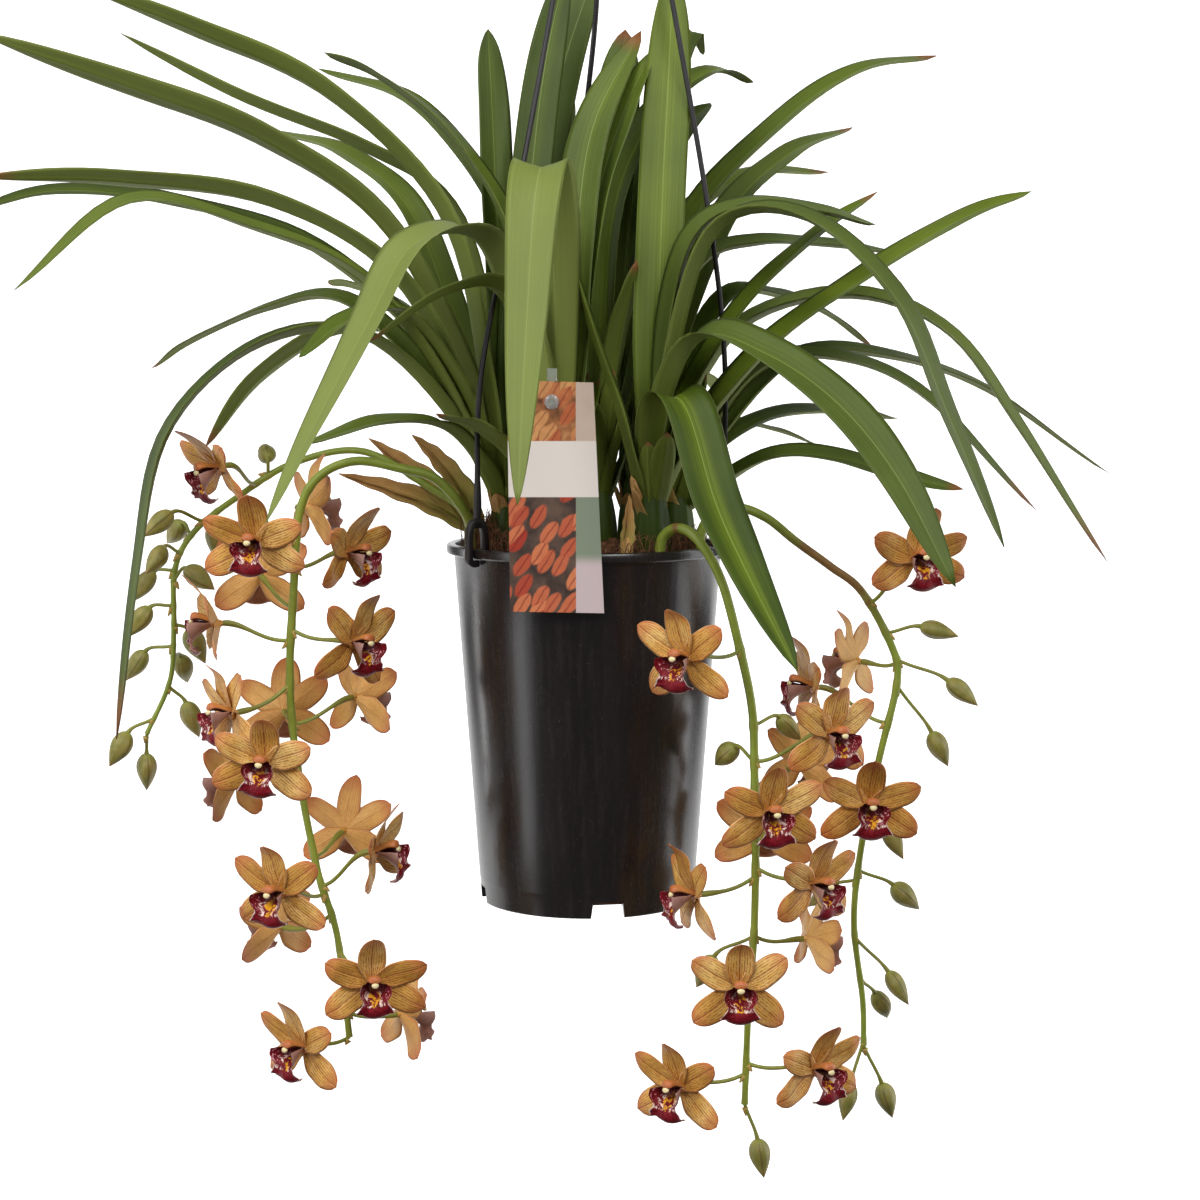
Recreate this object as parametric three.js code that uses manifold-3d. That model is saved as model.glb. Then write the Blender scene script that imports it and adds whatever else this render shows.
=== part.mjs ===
// Hanging potted cymbidium orchid, in millimetres, +Z up.
// Everything is laid out from the centre of the pot's rim (x right, y away from the viewer),
// and at the end the whole part is moved so that its origin is the inner crown of the hook.

import * as THREE from "three";
import { mergeVertices } from "three/addons/utils/BufferGeometryUtils.js";
import Module from "manifold-3d";

const wasm = await Module();
wasm.setup();

// Driving dimensions

const GAP = 0.3; // clearance between pieces that touch
const FACET_SLACK = 0.05; // extra where two faceted walls lie side by side

const POT_HEIGHT = 230;
const POT_TOP_RADIUS = 85.75;
const POT_BASE_RADIUS = 68.5;
const POT_WALL = 1.5;
const POT_SIDES = 30;
const LIP_RADIUS = 90;
const LIP_HEIGHT = 6;
const FOOT_HEIGHT = 7;
const NOTCH_WIDTH = 22;
const NOTCH_HEIGHT = 10;
const NOTCH_AZIMUTH = 281;
const FOOT_WIDTH = 3; // of the ring that the pot stands on
const SOIL_DEPTH = 12; // surface of the growing medium below the rim
const ROOT_DEPTH = 16; // how far stems and bulbs stand in the medium

const HUB_X = 14; // the strands meet a little to the right of the pot's axis
const HUB_Z = 573;
const HUB_RADIUS = 9;
const HUB_HEIGHT = 14;
const STRAND_RADIUS = 1.7;
const STRAND_SOCKET = 5; // distance of the strand sockets from the hub's axis
const HOOK_WIRE = 2.5; // radius of the hook's bar
const HOOK_INNER = 12;
const HOOK_CENTRE_Z = HUB_Z + 52;
const CROWN_Z = HOOK_CENTRE_Z + HOOK_INNER;
const CLIP_AZIMUTHS = { left: 218, back: 104, right: 356 };
const CLIP_WIDTH = 5;
const CLIP_BAR = 4.6;
const CLIP_RISE = 19.5; // top of the clip above the rim
const CLIP_SHOULDER = 11; // height where its legs begin to lean together
const CLIP_OUTER_DROP = 14;
const CLIP_INNER_DROP = 4;

const LABEL_Y = -91.4;
const LABEL_THICKNESS = 0.8;
const STAKE_WIDTH = 6;
const STAKE_THICKNESS = 1.6;
const PEG_RADIUS = 1.8; // peg of the stake that goes through the label's hole
const PEG_HEAD_RADIUS = 4.4;

const LEAF_THICKNESS = 1.5;
const TEPAL_THICKNESS = 1.1;
const PEDICEL_RADIUS = 1.4;
const BLOOM_BACK = 4; // from the bloom's centre to the flat back of its hub
const BUD_LENGTH = 23;
const BUD_RADIUS = 5.2;

const UP = new THREE.Vector3(0, 0, 1);
const radians = THREE.MathUtils.degToRad;
const vec = (x, y, z) => new THREE.Vector3(x, y, z);
const mix = THREE.MathUtils.lerp;

// Solids: a closed mesh becomes a solid, solids are joined or cut, and come back as a mesh

function toSolid(geometry) {
  const bare = new THREE.BufferGeometry();
  bare.setAttribute("position", geometry.getAttribute("position"));
  bare.setIndex(geometry.getIndex());
  const merged = mergeVertices(bare, 1e-4);
  return new wasm.Manifold(new wasm.Mesh({
    numProp: 3,
    vertProperties: new Float32Array(merged.getAttribute("position").array),
    triVerts: new Uint32Array(merged.getIndex().array),
  }));
}

function toGeometry(solid) {
  const mesh = solid.getMesh();
  const geometry = new THREE.BufferGeometry();
  geometry.setAttribute("position", new THREE.Float32BufferAttribute(mesh.vertProperties, 3));
  geometry.setIndex(Array.from(mesh.triVerts));
  return geometry;
}

const join = (solids) => solids.reduce((whole, piece) => whole.add(piece));

// A tiny hollow that joining closes off is filled: only the outer body is kept
const outerBody = (solid) => solid.decompose().reduce((a, b) => (a.volume() > b.volume() ? a : b));

const cut = (solid, cutters) => cutters.reduce((rest, cutter) => rest.subtract(cutter), solid);

// The two triangles of a four-cornered patch. In a band of patches every other one is split along
// its other diagonal, so the two faces of a thin blade bend along the same lines and never cross.
const patch = (a, b, c, d, k) => (k % 2 === 0 ? [[a, b, c], [a, c, d]] : [[a, b, d], [b, c, d]]);

// A skin runs over rings of equal count. A last ring of one point makes a pointed tip.

function skin(rings) {
  const count = rings[0].length;
  const triangles = [];
  const capRing = (start, turned) => {
    for (let k = 1; k < count - 1; k++) {
      triangles.push(turned ? [start, start + k + 1, start + k] : [start, start + k, start + k + 1]);
    }
  };
  rings.slice(1).forEach((ring, i) => {
    const lower = i * count;
    const upper = lower + count;
    for (let k = 0; k < count; k++) {
      const next = (k + 1) % count;
      if (ring.length === 1) {
        triangles.push([lower + k, lower + next, upper]);
      } else {
        triangles.push(...patch(lower + k, lower + next, upper + next, upper + k, k));
      }
    }
  });
  capRing(0, true);
  if (rings.at(-1).length > 1) {
    capRing((rings.length - 1) * count, false);
  }
  return closedMesh(rings.flat(), triangles);
}

// Triangles that all wind one way round a closed body are turned to face outwards
function closedMesh(points, triangles) {
  const volume = triangles.reduce(
    (sum, [a, b, c]) => sum + points[a].dot(points[b].clone().cross(points[c])) / 6, 0,
  );
  const geometry = new THREE.BufferGeometry();
  geometry.setAttribute("position", new THREE.Float32BufferAttribute(points.flatMap((p) => [...p]), 3));
  geometry.setIndex(triangles.flatMap(([a, b, c]) => (volume < 0 ? [a, c, b] : [a, b, c])));
  return geometry;
}

// Curves: a smooth path through hand-placed points, evaluated for t from 0 to 1

function along(points, t) {
  const last = points.length - 1;
  const span = Math.min(Math.floor(t * last), last - 1);
  const u = t * last - span;
  const before = span > 0 ? points[span - 1] : points[0].clone().multiplyScalar(2).sub(points[1]);
  const after = span + 2 <= last
    ? points[span + 2]
    : points[last].clone().multiplyScalar(2).sub(points[last - 1]);
  const blend = (a, b, c, d) =>
    0.5 * (2 * b + (c - a) * u + (2 * a - 5 * b + 4 * c - d) * u * u + (3 * b - a - 3 * c + d) * u ** 3);
  const from = points[span];
  const to = points[span + 1];
  return vec(
    blend(before.x, from.x, to.x, after.x),
    blend(before.y, from.y, to.y, after.y),
    blend(before.z, from.z, to.z, after.z),
  );
}

function heading(points, t) {
  const step = 0.01;
  return along(points, Math.min(t + step, 1)).sub(along(points, Math.max(t - step, 0))).normalize();
}

// A round rod with few sides along a path, with a radius for each t
function rod(points, steps, sides, radiusAt) {
  const side = vec(0, 0, 0);
  const rings = [];
  for (let i = 0; i <= steps; i++) {
    const t = i / steps;
    const tangent = heading(points, t);
    if (i === 0) {
      side.crossVectors(tangent, Math.abs(tangent.z) > 0.9 ? vec(1, 0, 0) : UP);
    }
    side.addScaledVector(tangent, -side.dot(tangent)).normalize();
    rings.push(circle(along(points, t), side, tangent, radiusAt(t), sides));
  }
  return skin(rings);
}

// The corners of a circle with few sides round an axis, the first of them towards side
function circle(centre, side, axis, radius, sides) {
  const flat = side.clone().addScaledVector(axis, -side.dot(axis)).normalize();
  const other = vec(0, 0, 0).crossVectors(axis, flat);
  return Array.from({ length: sides }, (_, k) => {
    const angle = (2 * Math.PI * k) / sides;
    return centre.clone()
      .addScaledVector(flat, radius * Math.cos(angle))
      .addScaledVector(other, radius * Math.sin(angle));
  });
}

// An upright round body with a radius at each height, such as a bulb or a hole for it
function upright(x, y, sides, profile) {
  return skin(profile.map(([radius, z]) => Array.from({ length: sides }, (_, k) => {
    const angle = (2 * Math.PI * k) / sides;
    return vec(x + radius * Math.cos(angle), y + radius * Math.sin(angle), z);
  })));
}

// The four corners of a blade's section: middle of the underside, right edge, middle of the upper
// side, left edge. The edges are lifted by fold, which makes the leaf's shallow V.
function bladeSection(centre, across, over, width, fold, thickness) {
  const corner = (a, b) => centre.clone().addScaledVector(across, a).addScaledVector(over, b);
  return [
    corner(0, -thickness / 2),
    corner(width / 2, fold),
    corner(0, thickness / 2),
    corner(-width / 2, fold),
  ];
}

// Pot and growing medium

const innerRadiusAt = (z) =>
  mix(POT_BASE_RADIUS, POT_TOP_RADIUS, (z + POT_HEIGHT) / POT_HEIGHT) - POT_WALL;

function lathe(profile, sides) {
  const points = profile.map(([radius, z]) => new THREE.Vector2(radius, z));
  return new THREE.LatheGeometry(points, sides).rotateX(Math.PI / 2);
}

function potSolid() {
  const floorTop = -POT_HEIGHT + FOOT_HEIGHT + POT_WALL;
  const body = toSolid(lathe([
    [0, floorTop - POT_WALL],
    [POT_BASE_RADIUS - FOOT_WIDTH, floorTop - POT_WALL],
    [POT_BASE_RADIUS - FOOT_WIDTH, -POT_HEIGHT],
    [POT_BASE_RADIUS, -POT_HEIGHT],
    [POT_TOP_RADIUS, -LIP_HEIGHT],
    [LIP_RADIUS, -LIP_HEIGHT],
    [LIP_RADIUS, 0],
    [innerRadiusAt(0), 0],
    [innerRadiusAt(floorTop), floorTop],
    [0, floorTop],
  ], POT_SIDES));
  const notch = (azimuth) => toSolid(
    new THREE.BoxGeometry(20, NOTCH_WIDTH, NOTCH_HEIGHT * 2)
      .translate(POT_BASE_RADIUS, 0, -POT_HEIGHT)
      .rotateZ(radians(azimuth)),
  );
  return cut(body, [0, 90, 180, 270].map((turn) => notch(NOTCH_AZIMUTH + turn)));
}

function mediumSolid(holes) {
  const bottom = -POT_HEIGHT + FOOT_HEIGHT + POT_WALL + GAP;
  const body = toSolid(lathe([
    [0, bottom],
    [innerRadiusAt(bottom) - GAP - FACET_SLACK, bottom],
    [innerRadiusAt(-SOIL_DEPTH) - GAP - FACET_SLACK, -SOIL_DEPTH],
    [0, -SOIL_DEPTH + 2],
  ], POT_SIDES));
  return cut(body, holes);
}

// A plain hole in the medium for whatever stands in it
const rootHole = (x, y, radius, sides = 6) => toSolid(
  upright(x, y, sides, [[radius, -SOIL_DEPTH - ROOT_DEPTH - GAP], [radius, 5]]),
);

// Hanger: a hook with a hub, and three strands that each end in a clip over the rim

// The clip is an upside-down U that straddles the rim and hooks in under the lip
function clipSolid(azimuth) {
  const outerFace = LIP_RADIUS + GAP + CLIP_BAR;
  const innerFace = innerRadiusAt(0) * Math.cos(Math.PI / POT_SIDES) - GAP - CLIP_BAR;
  const middle = (outerFace + innerFace) / 2;
  const underLip = -LIP_HEIGHT - GAP;
  const hookFace = POT_TOP_RADIUS + 1;
  const shape = new THREE.Shape();
  shape.moveTo(outerFace, -CLIP_OUTER_DROP);
  shape.lineTo(outerFace, CLIP_SHOULDER);
  shape.quadraticCurveTo(outerFace - 0.5, CLIP_RISE, middle + 2, CLIP_RISE);
  shape.lineTo(middle - 2, CLIP_RISE);
  shape.quadraticCurveTo(innerFace, CLIP_RISE, innerFace, CLIP_SHOULDER);
  shape.lineTo(innerFace, -CLIP_INNER_DROP);
  shape.lineTo(innerFace + CLIP_BAR, -CLIP_INNER_DROP);
  shape.lineTo(innerFace + CLIP_BAR, CLIP_SHOULDER - 1);
  shape.quadraticCurveTo(middle, CLIP_RISE - 1.5, outerFace - CLIP_BAR, CLIP_SHOULDER - 1);
  shape.lineTo(outerFace - CLIP_BAR, underLip);
  shape.lineTo(hookFace, underLip);
  shape.lineTo(hookFace, underLip - CLIP_BAR);
  const bar = new THREE.ExtrudeGeometry(shape, { depth: CLIP_WIDTH, bevelEnabled: false, curveSegments: 2 });
  return toSolid(bar.rotateX(Math.PI / 2).translate(0, CLIP_WIDTH / 2, 0).rotateZ(radians(azimuth)));
}

const polar = (radius, azimuth, z) =>
  vec(radius * Math.cos(radians(azimuth)), radius * Math.sin(radians(azimuth)), z);

const socketAt = (azimuth, z) => polar(STRAND_SOCKET, azimuth, z).add(vec(HUB_X, 0, 0));

// Points of each strand from its clip to the hub, chosen by hand
const strandRoutes = {
  left: [[-68, -53, 17], [-65, -49, 110], [-40, -30, 235], [-20, -15, 345], [3, -6, 470]],
  back: [[-21, 83, 17], [-17, 74, 120], [-4, 44, 250], [6, 24, 345], [10, 12, 470]],
  right: [[86, -6, 17], [87, -6, 115], [77, -6, 205], [55, -4, 330], [30, -2, 460]],
};

function strandSolid(name) {
  const azimuth = CLIP_AZIMUTHS[name];
  const route = strandRoutes[name].map(([x, y, z]) => vec(x, y, z));
  route.push(...[-14, -3, 8].map((rise) => socketAt(azimuth, HUB_Z + rise)));
  return clipSolid(azimuth).add(toSolid(rod(route, 12, 5, () => STRAND_RADIUS)));
}

function hookSolid() {
  const hub = toSolid(upright(HUB_X, 0, 8, [
    [HUB_RADIUS - 1, HUB_Z],
    [HUB_RADIUS, HUB_Z + 2],
    [HUB_RADIUS, HUB_Z + HUB_HEIGHT - 4],
    [4, HUB_Z + HUB_HEIGHT],
  ]));
  const bend = HOOK_INNER + HOOK_WIRE;
  const route = [vec(HUB_X, 0, HUB_Z + HUB_HEIGHT - 2), vec(HUB_X, 0, HUB_Z + HUB_HEIGHT + 8)];
  const firstAngle = -75;
  const lastAngle = 190;
  for (let angle = firstAngle; angle <= lastAngle; angle += 26.5) {
    const turn = radians(angle);
    route.push(vec(HUB_X + bend * Math.cos(turn), 0, HOOK_CENTRE_Z + bend * Math.sin(turn)));
  }
  const bar = toSolid(rod(route, 17, 6, () => HOOK_WIRE));
  const sockets = Object.values(CLIP_AZIMUTHS).map((azimuth) => toSolid(rod(
    [socketAt(azimuth, HUB_Z - 5), socketAt(azimuth, HUB_Z + 8 + GAP)], 1, 6, () => STRAND_RADIUS + 0.9,
  )));
  return cut(hub.add(bar), sockets);
}

// Plant label on a clear stake

const labelCorners = [[-48, 105], [4, 103.5], [10.5, -36], [-46.5, -35]];
const labelPeg = { x: -21, z: 92 };

function labelSolid() {
  const shape = new THREE.Shape(labelCorners.map(([x, z]) => new THREE.Vector2(x, z)));
  const card = new THREE.ExtrudeGeometry(shape, { depth: LABEL_THICKNESS, bevelEnabled: false });
  const holeRadius = PEG_RADIUS + GAP + 0.1;
  const hole = new THREE.CylinderGeometry(holeRadius, holeRadius, 6, 10);
  return toSolid(card.rotateX(Math.PI / 2).translate(0, LABEL_Y + LABEL_THICKNESS, 0))
    .subtract(toSolid(hole.translate(labelPeg.x, LABEL_Y, labelPeg.z)));
}

const stakeFoot = vec(labelPeg.x + 1, -71, -SOIL_DEPTH - 34);
const stakeHead = vec(labelPeg.x, LABEL_Y + LABEL_THICKNESS + 2.2, 112);

function stakeSolid() {
  const bar = (grow) => {
    const half = STAKE_WIDTH / 2 + grow;
    const deep = STAKE_THICKNESS / 2 + grow;
    const ring = (p, narrow) => [
      vec(p.x - half * narrow, p.y - deep, p.z),
      vec(p.x + half * narrow, p.y - deep, p.z),
      vec(p.x + half * narrow, p.y + deep, p.z),
      vec(p.x - half * narrow, p.y + deep, p.z),
    ];
    const foot = stakeFoot.clone().add(vec(0, 0, -grow));
    const shoulder = stakeFoot.clone().lerp(stakeHead, 0.12);
    return toSolid(skin([ring(foot, 0.35), ring(shoulder, 1), ring(stakeHead, 1)]));
  };
  const front = LABEL_Y - 1.8;
  const back = LABEL_Y + LABEL_THICKNESS + 5;
  const cylinder = (radius, y0, y1) => toSolid(
    new THREE.CylinderGeometry(radius, radius, y1 - y0, 10).translate(labelPeg.x, (y0 + y1) / 2, labelPeg.z),
  );
  const peg = cylinder(PEG_RADIUS, front, back);
  const head = cylinder(PEG_HEAD_RADIUS, front, LABEL_Y - GAP);
  const stake = join([bar(0), peg, head]);
  return { stake, hole: bar(GAP) };
}

// Growths: each is a pseudobulb with its fan of strap leaves.
// A leaf is [azimuth, width, roll, twist, [reach, height], ...]: it lies in the upright plane of its
// azimuth, reach is measured from the bulb and height from the rim. Roll turns the blade about its
// own line at the root and twist adds to that up to the tip.

const BULB_RADIUS = 13;
const LEAF_ROOT_Z = 18;
const LEAF_ROOT_REACH = 5;
const BULB_TOP = 52;

const growths = {
  growth_left_front: { at: [-50, -16], leaves: [
    [176, 24, 0, 25, [15, 100], [40, 205], [110, 280], [195, 322], [268, 350]],
    [186, 22, 0, 20, [30, 95], [75, 172], [150, 214], [240, 227], [325, 228]],
    [198, 20, 0, -15, [35, 90], [90, 165], [160, 197], [235, 212], [304, 158]],
    [192, 20, 10, -30, [40, 85], [95, 133], [160, 124], [212, 73], [232, -10], [246, -117]],
    [208, 24, 0, 0, [30, 90], [70, 145], [110, 140], [140, 118]],
    [226, 20, 0, 0, [22, 48], [55, 76], [105, 80], [165, 68]],
    [105, 22, 0, 20, [12, 110], [30, 210], [45, 290], [55, 327]],
    [60, 24, 15, 20, [12, 110], [25, 210], [45, 300], [75, 374]],
  ] },
  growth_left_back: { at: [-42, 32], leaves: [
    [188, 25, 0, 30, [40, 110], [90, 201], [162, 254], [240, 285], [338, 318]],
    [172, 18, 0, 20, [20, 110], [44, 210], [104, 252], [193, 289], [266, 328]],
    [140, 22, 0, 0, [50, 115], [98, 212], [162, 255], [238, 275]],
    [178, 20, 0, -20, [60, 120], [140, 190], [227, 217], [301, 225], [358, 212]],
    [160, 20, 0, 0, [65, 100], [127, 154], [183, 150], [242, 128], [273, 109]],
    [132, 18, 0, 10, [75, 95], [130, 150], [182, 166], [212, 168]],
    [45, 28, 15, 10, [10, 110], [15, 215], [35, 300], [70, 378]],
    [65, 22, 0, 10, [15, 120], [35, 225], [75, 290]],
  ] },
  growth_centre_front: { at: [-16, -30], leaves: [
    [222, 34, 0, -10, [20, 80], [43, 153], [71, 192], [117, 185], [150, 140], [188, 83], [224, 25]],
    [224, 20, 0, 30, [15, 90], [44, 156], [94, 158], [156, 127]],
    [217, 25, 0, 0, [20, 35], [45, 62], [70, 78], [94, 84]],
    [160, 26, 0, 10, [18, 100], [36, 197], [71, 253], [120, 293], [162, 311]],
    [50, 26, 10, 10, [10, 110], [16, 200], [32, 265], [78, 325]],
    [40, 24, 0, 10, [12, 100], [26, 205], [50, 270], [75, 312]],
    [262, 31, 0, 0, [15, 110], [40, 200], [72, 231], [105, 205], [130, 140], [150, 85], [163, 36]],
  ] },
  growth_centre: { at: [6, 10], leaves: [
    [30, 28, 0, 0, [5, 105], [12, 208], [40, 268], [85, 302], [118, 296]],
    [72, 30, 0, 10, [8, 110], [22, 205], [42, 280], [60, 330]],
    [15, 22, 0, 10, [15, 95], [30, 175], [50, 240]],
    [310, 20, 0, 0, [10, 70], [22, 130], [40, 178]],
  ] },
  growth_right_front: { at: [40, -34], leaves: [
    [75, 28, 0, 10, [15, 120], [30, 230], [45, 300], [55, 362]],
    [4, 26, 0, 0, [10, 110], [24, 189], [62, 212], [108, 208], [140, 200]],
    [341, 22, 0, 25, [14, 110], [42, 196], [98, 203], [154, 155], [187, 85], [222, 5]],
    [14, 20, 0, 0, [14, 70], [50, 138], [100, 189], [148, 222]],
    [8, 26, 0, 10, [26, 65], [77, 126], [136, 168], [196, 204], [243, 222]],
    [325, 28, 0, 45, [8, 75], [35, 130], [83, 121], [133, 92], [175, 48], [213, -14]],
    [300, 31, 0, 0, [10, 58], [22, 92], [44, 84], [74, 33], [108, -6], [163, -61]],
    [190, 20, 0, 0, [12, 50], [25, 99], [46, 162], [49, 205]],
  ] },
  growth_right_back: { at: [32, 44], leaves: [
    [45, 30, 0, 0, [5, 110], [12, 215], [36, 262], [70, 285]],
    [55, 22, 0, 20, [10, 120], [22, 220], [38, 300], [62, 332], [78, 318]],
    [20, 26, 0, 0, [12, 100], [35, 199], [100, 270], [160, 308], [215, 318]],
    [42, 24, 0, 0, [30, 110], [78, 206], [140, 254], [205, 276]],
    [6, 24, 0, 0, [14, 100], [40, 175], [80, 192], [126, 191], [172, 186]],
    [22, 22, 0, 0, [28, 90], [65, 155], [105, 158], [140, 146], [172, 124]],
    [352, 24, 0, 0, [28, 75], [70, 138], [138, 157], [200, 135], [246, 75], [304, -13]],
    [30, 9, 0, 0, [30, 50], [75, 72], [112, 68], [152, 54]],
  ] },
  growth_back: { at: [-8, 60], leaves: [
    [35, 22, 0, 10, [30, 110], [75, 195], [140, 240], [215, 245]],
    [70, 24, 0, 0, [28, 120], [65, 215], [130, 270], [205, 280]],
    [82, 26, 0, 0, [40, 100], [95, 180], [165, 215], [245, 205], [300, 160]],
    [160, 22, 0, -10, [25, 120], [60, 220], [115, 285], [185, 310]],
    [166, 22, 0, 10, [40, 75], [90, 125], [160, 135], [220, 105], [262, 55]],
    [58, 20, 0, 10, [50, 65], [110, 105], [175, 100], [230, 60]],
  ] },
  growth_right: { at: [56, 12], leaves: [
    [2, 22, 0, 10, [20, 62], [58, 112], [112, 116], [165, 90], [234, 19]],
    [15, 22, 0, 0, [28, 62], [81, 116], [147, 118], [218, 95], [305, 39]],
    [354, 17, 0, 30, [20, 28], [60, 54], [104, 54], [146, 42], [184, 34]],
    [27, 20, 0, 0, [24, 52], [70, 78], [128, 82], [170, 76]],
  ] },
};

// Share of a leaf's full width at t: narrow and folded at the root, full in the middle
const leafSpread = (t) =>
  (t < 0.3 ? mix(0.4, 1, t / 0.3) : 1 - 0.75 * Math.max(0, (t - 0.6) / 0.4) ** 2);

function leafBlade([x, y], [azimuth, width, roll, twist, ...path]) {
  const plane = radians(azimuth);
  const outward = vec(Math.cos(plane), Math.sin(plane), 0);
  const start = [LEAF_ROOT_REACH, Math.min(LEAF_ROOT_Z, path[0][1] * 0.5)];
  const points = [start, ...path].map(([reach, height]) => outward.clone().multiplyScalar(reach)
    .add(vec(x, y, height)));
  const level = vec(-outward.y, outward.x, 0);
  const rings = points.map((_, i) => {
    const t = i / points.length;
    const tangent = heading(points, t);
    const angle = radians(roll + twist * t);
    const across = level.clone().applyAxisAngle(tangent, angle);
    const over = vec(0, 0, 0).crossVectors(tangent, across);
    const breadth = width * leafSpread(t);
    const fold = breadth * (0.32 * (1 - t) ** 2 + 0.06);
    return bladeSection(along(points, t), across, over, breadth, fold, LEAF_THICKNESS);
  });
  rings.push([along(points, 1)]);
  return toSolid(skin(rings));
}

function growthSolid({ at, leaves }) {
  const bulb = toSolid(upright(...at, 7, [
    [BULB_RADIUS - 3, -SOIL_DEPTH - ROOT_DEPTH],
    [BULB_RADIUS, 4],
    [BULB_RADIUS - 2, 32],
    [1.2, BULB_TOP],
  ]));
  return outerBody(join([bulb, ...leaves.map((leaf) => leafBlade(at, leaf))]));
}

// Flower spikes: a stem through hand-placed points, buds, and a pedicel for each open bloom.
// A bloom is [t on the stem, [x, y, z] of its centre, facing azimuth, facing elevation, roll].
// A bud is [t on the stem, [x, y, z] of its centre].

const spikes = {
  spike_left: {
    radii: [3.3, 2.0],
    stem: [[-72, -30, -8], [-75, -31, 18], [-94, -36, 42], [-115, -40, 49], [-144, -44, 54], [-167, -46, 44],
      [-179, -46, 21], [-183, -46, -26], [-186, -46, -83], [-182, -46, -137], [-170, -46, -204],
      [-158, -46, -246], [-151, -46, -311]],
    blooms: [
      [0.53, [-202, -80, 6], 258, -8, 0],
      [0.60, [-209, -8, -21], 105, -5, 5],
      [0.45, [-177, -20, 24], 30, 5, 0],
      [0.56, [-147, -64, -2], 330, -8, 0],
      [0.62, [-144, -68, -57], 318, -8, -5],
      [0.71, [-146, -22, -97], 45, -5, 0],
      [0.63, [-231, -50, -47], 192, -5, 0],
      [0.67, [-220, -66, -101], 215, -5, 8],
      [0.70, [-195, 0, -109], 95, -5, 0],
      [0.74, [-196, -96, -127], 262, -8, -6],
      [0.75, [-224, -24, -150], 155, -5, 0],
      [0.82, [-157, -2, -187], 70, 0, 0],
      [0.85, [-132, -62, -189], 343, 0, 7],
      [0.86, [-188, -92, -208], 245, -8, 0],
      [0.89, [-199, -14, -247], 140, 0, 0],
      [0.93, [-132, -94, -264], 282, -5, 0],
      [0.98, [-118, -36, -299], 30, -5, 0],
      [1.00, [-178, -68, -312], 230, -5, 0],
    ],
    buds: [],
  },
  spike_far_left: {
    radii: [2.6, 1.5],
    stem: [[-76, -12, -8], [-78, -10, 19], [-100, -4, 35], [-144, 4, 58], [-189, 6, 50], [-225, 2, 28],
      [-251, -4, 7], [-263, -8, -17], [-264, -10, -55], [-267, -10, -88], [-282, -12, -122]],
    blooms: [[0.46, [-230, -36, 49], 215, -20, 0]],
    buds: [
      [0.57, [-271, -22, 13]], [0.61, [-266, 12, 5]], [0.66, [-272, -30, -9]], [0.70, [-284, -6, -28]],
      [0.72, [-246, -16, -22]], [0.76, [-286, -14, -50]], [0.79, [-250, -8, -66]], [0.83, [-291, 2, -80]],
      [0.85, [-262, 16, -84]], [0.91, [-254, -4, -114]], [0.97, [-299, -18, -131]], [1.00, [-284, -4, -148]],
      [0.44, [-206, 14, 57]], [0.54, [-240, 12, 0]],
    ],
  },
  spike_right: {
    radii: [3.4, 2.0],
    stem: [[44, -60, -8], [47, -61, 8], [57, -68, 14], [69, -76, 6], [82, -80, -17], [92, -82, -53],
      [101, -82, -95], [103, -80, -137], [104, -80, -193], [103, -80, -242], [100, -80, -286],
      [98, -82, -344]],
    blooms: [
      [0.47, [59, -119, -60], 238, -8, 0],
      [0.67, [109, -127, -152], 285, -8, 0],
      [0.70, [112, -36, -182], 85, 0, 0],
      [0.74, [66, -92, -210], 200, -5, 0],
      [0.73, [138, -98, -202], 310, -8, 0],
      [0.81, [139, -58, -245], 20, -5, 0],
      [0.86, [92, -127, -259], 270, -5, 0],
      [0.97, [57, -100, -328], 235, -5, 0],
      [0.96, [140, -100, -317], 305, -5, 0],
      [0.62, [147, -106, -108], 300, -8, 0],
      [0.65, [134, -46, -136], 50, 0, 0],
    ],
    buds: [
      [0.57, [126, -62, -111]], [0.62, [86, -56, -129]], [0.81, [74, -62, -265]], [1.00, [108, -84, -378]],
    ],
  },
  spike_far_right: {
    radii: [3.2, 1.8],
    stem: [[70, -28, -8], [74, -29, 14], [93, -32, 24], [112, -32, 18], [131, -30, 3], [153, -28, -13],
      [173, -28, -29], [192, -28, -63], [196, -28, -86], [185, -30, -135], [174, -30, -193],
      [170, -30, -241], [176, -30, -291], [177, -30, -321]],
    blooms: [
      [0.48, [202, -64, -5], 290, -5, 0],
      [0.58, [172, -6, -76], 150, 0, 0],
      [0.66, [144, -12, -92], 190, 0, 0],
      [0.71, [174, -74, -157], 275, -8, 0],
    ],
    buds: [
      [0.52, [222, -30, -54]], [0.57, [236, -38, -92]], [0.62, [224, -24, -130]], [0.73, [194, -42, -186]],
      [0.79, [204, -22, -226]], [0.80, [150, -18, -226]], [0.86, [198, -36, -282]], [0.90, [190, -10, -300]],
      [0.99, [166, -36, -356]], [1.00, [193, -24, -359]],
    ],
  },
};

const facing = (azimuth, elevation) =>
  polar(Math.cos(radians(elevation)), azimuth, Math.sin(radians(elevation)));

function pedicel(root, centre, look) {
  const end = centre.clone().addScaledVector(look, -BLOOM_BACK - GAP);
  const reach = end.distanceTo(root);
  const curve = new THREE.CubicBezierCurve3(
    root,
    root.clone().lerp(end, 0.4).add(vec(0, 0, -0.08 * reach)),
    end.clone().addScaledVector(look, -0.32 * reach),
    end,
  );
  const rings = [0, 0.55, 1].map((t) => {
    const tangent = curve.getTangent(t);
    const side = vec(0, 0, 0).crossVectors(tangent, UP).normalize();
    return circle(curve.getPoint(t), side, tangent, PEDICEL_RADIUS, 3);
  });
  return toSolid(skin(rings));
}

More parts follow.
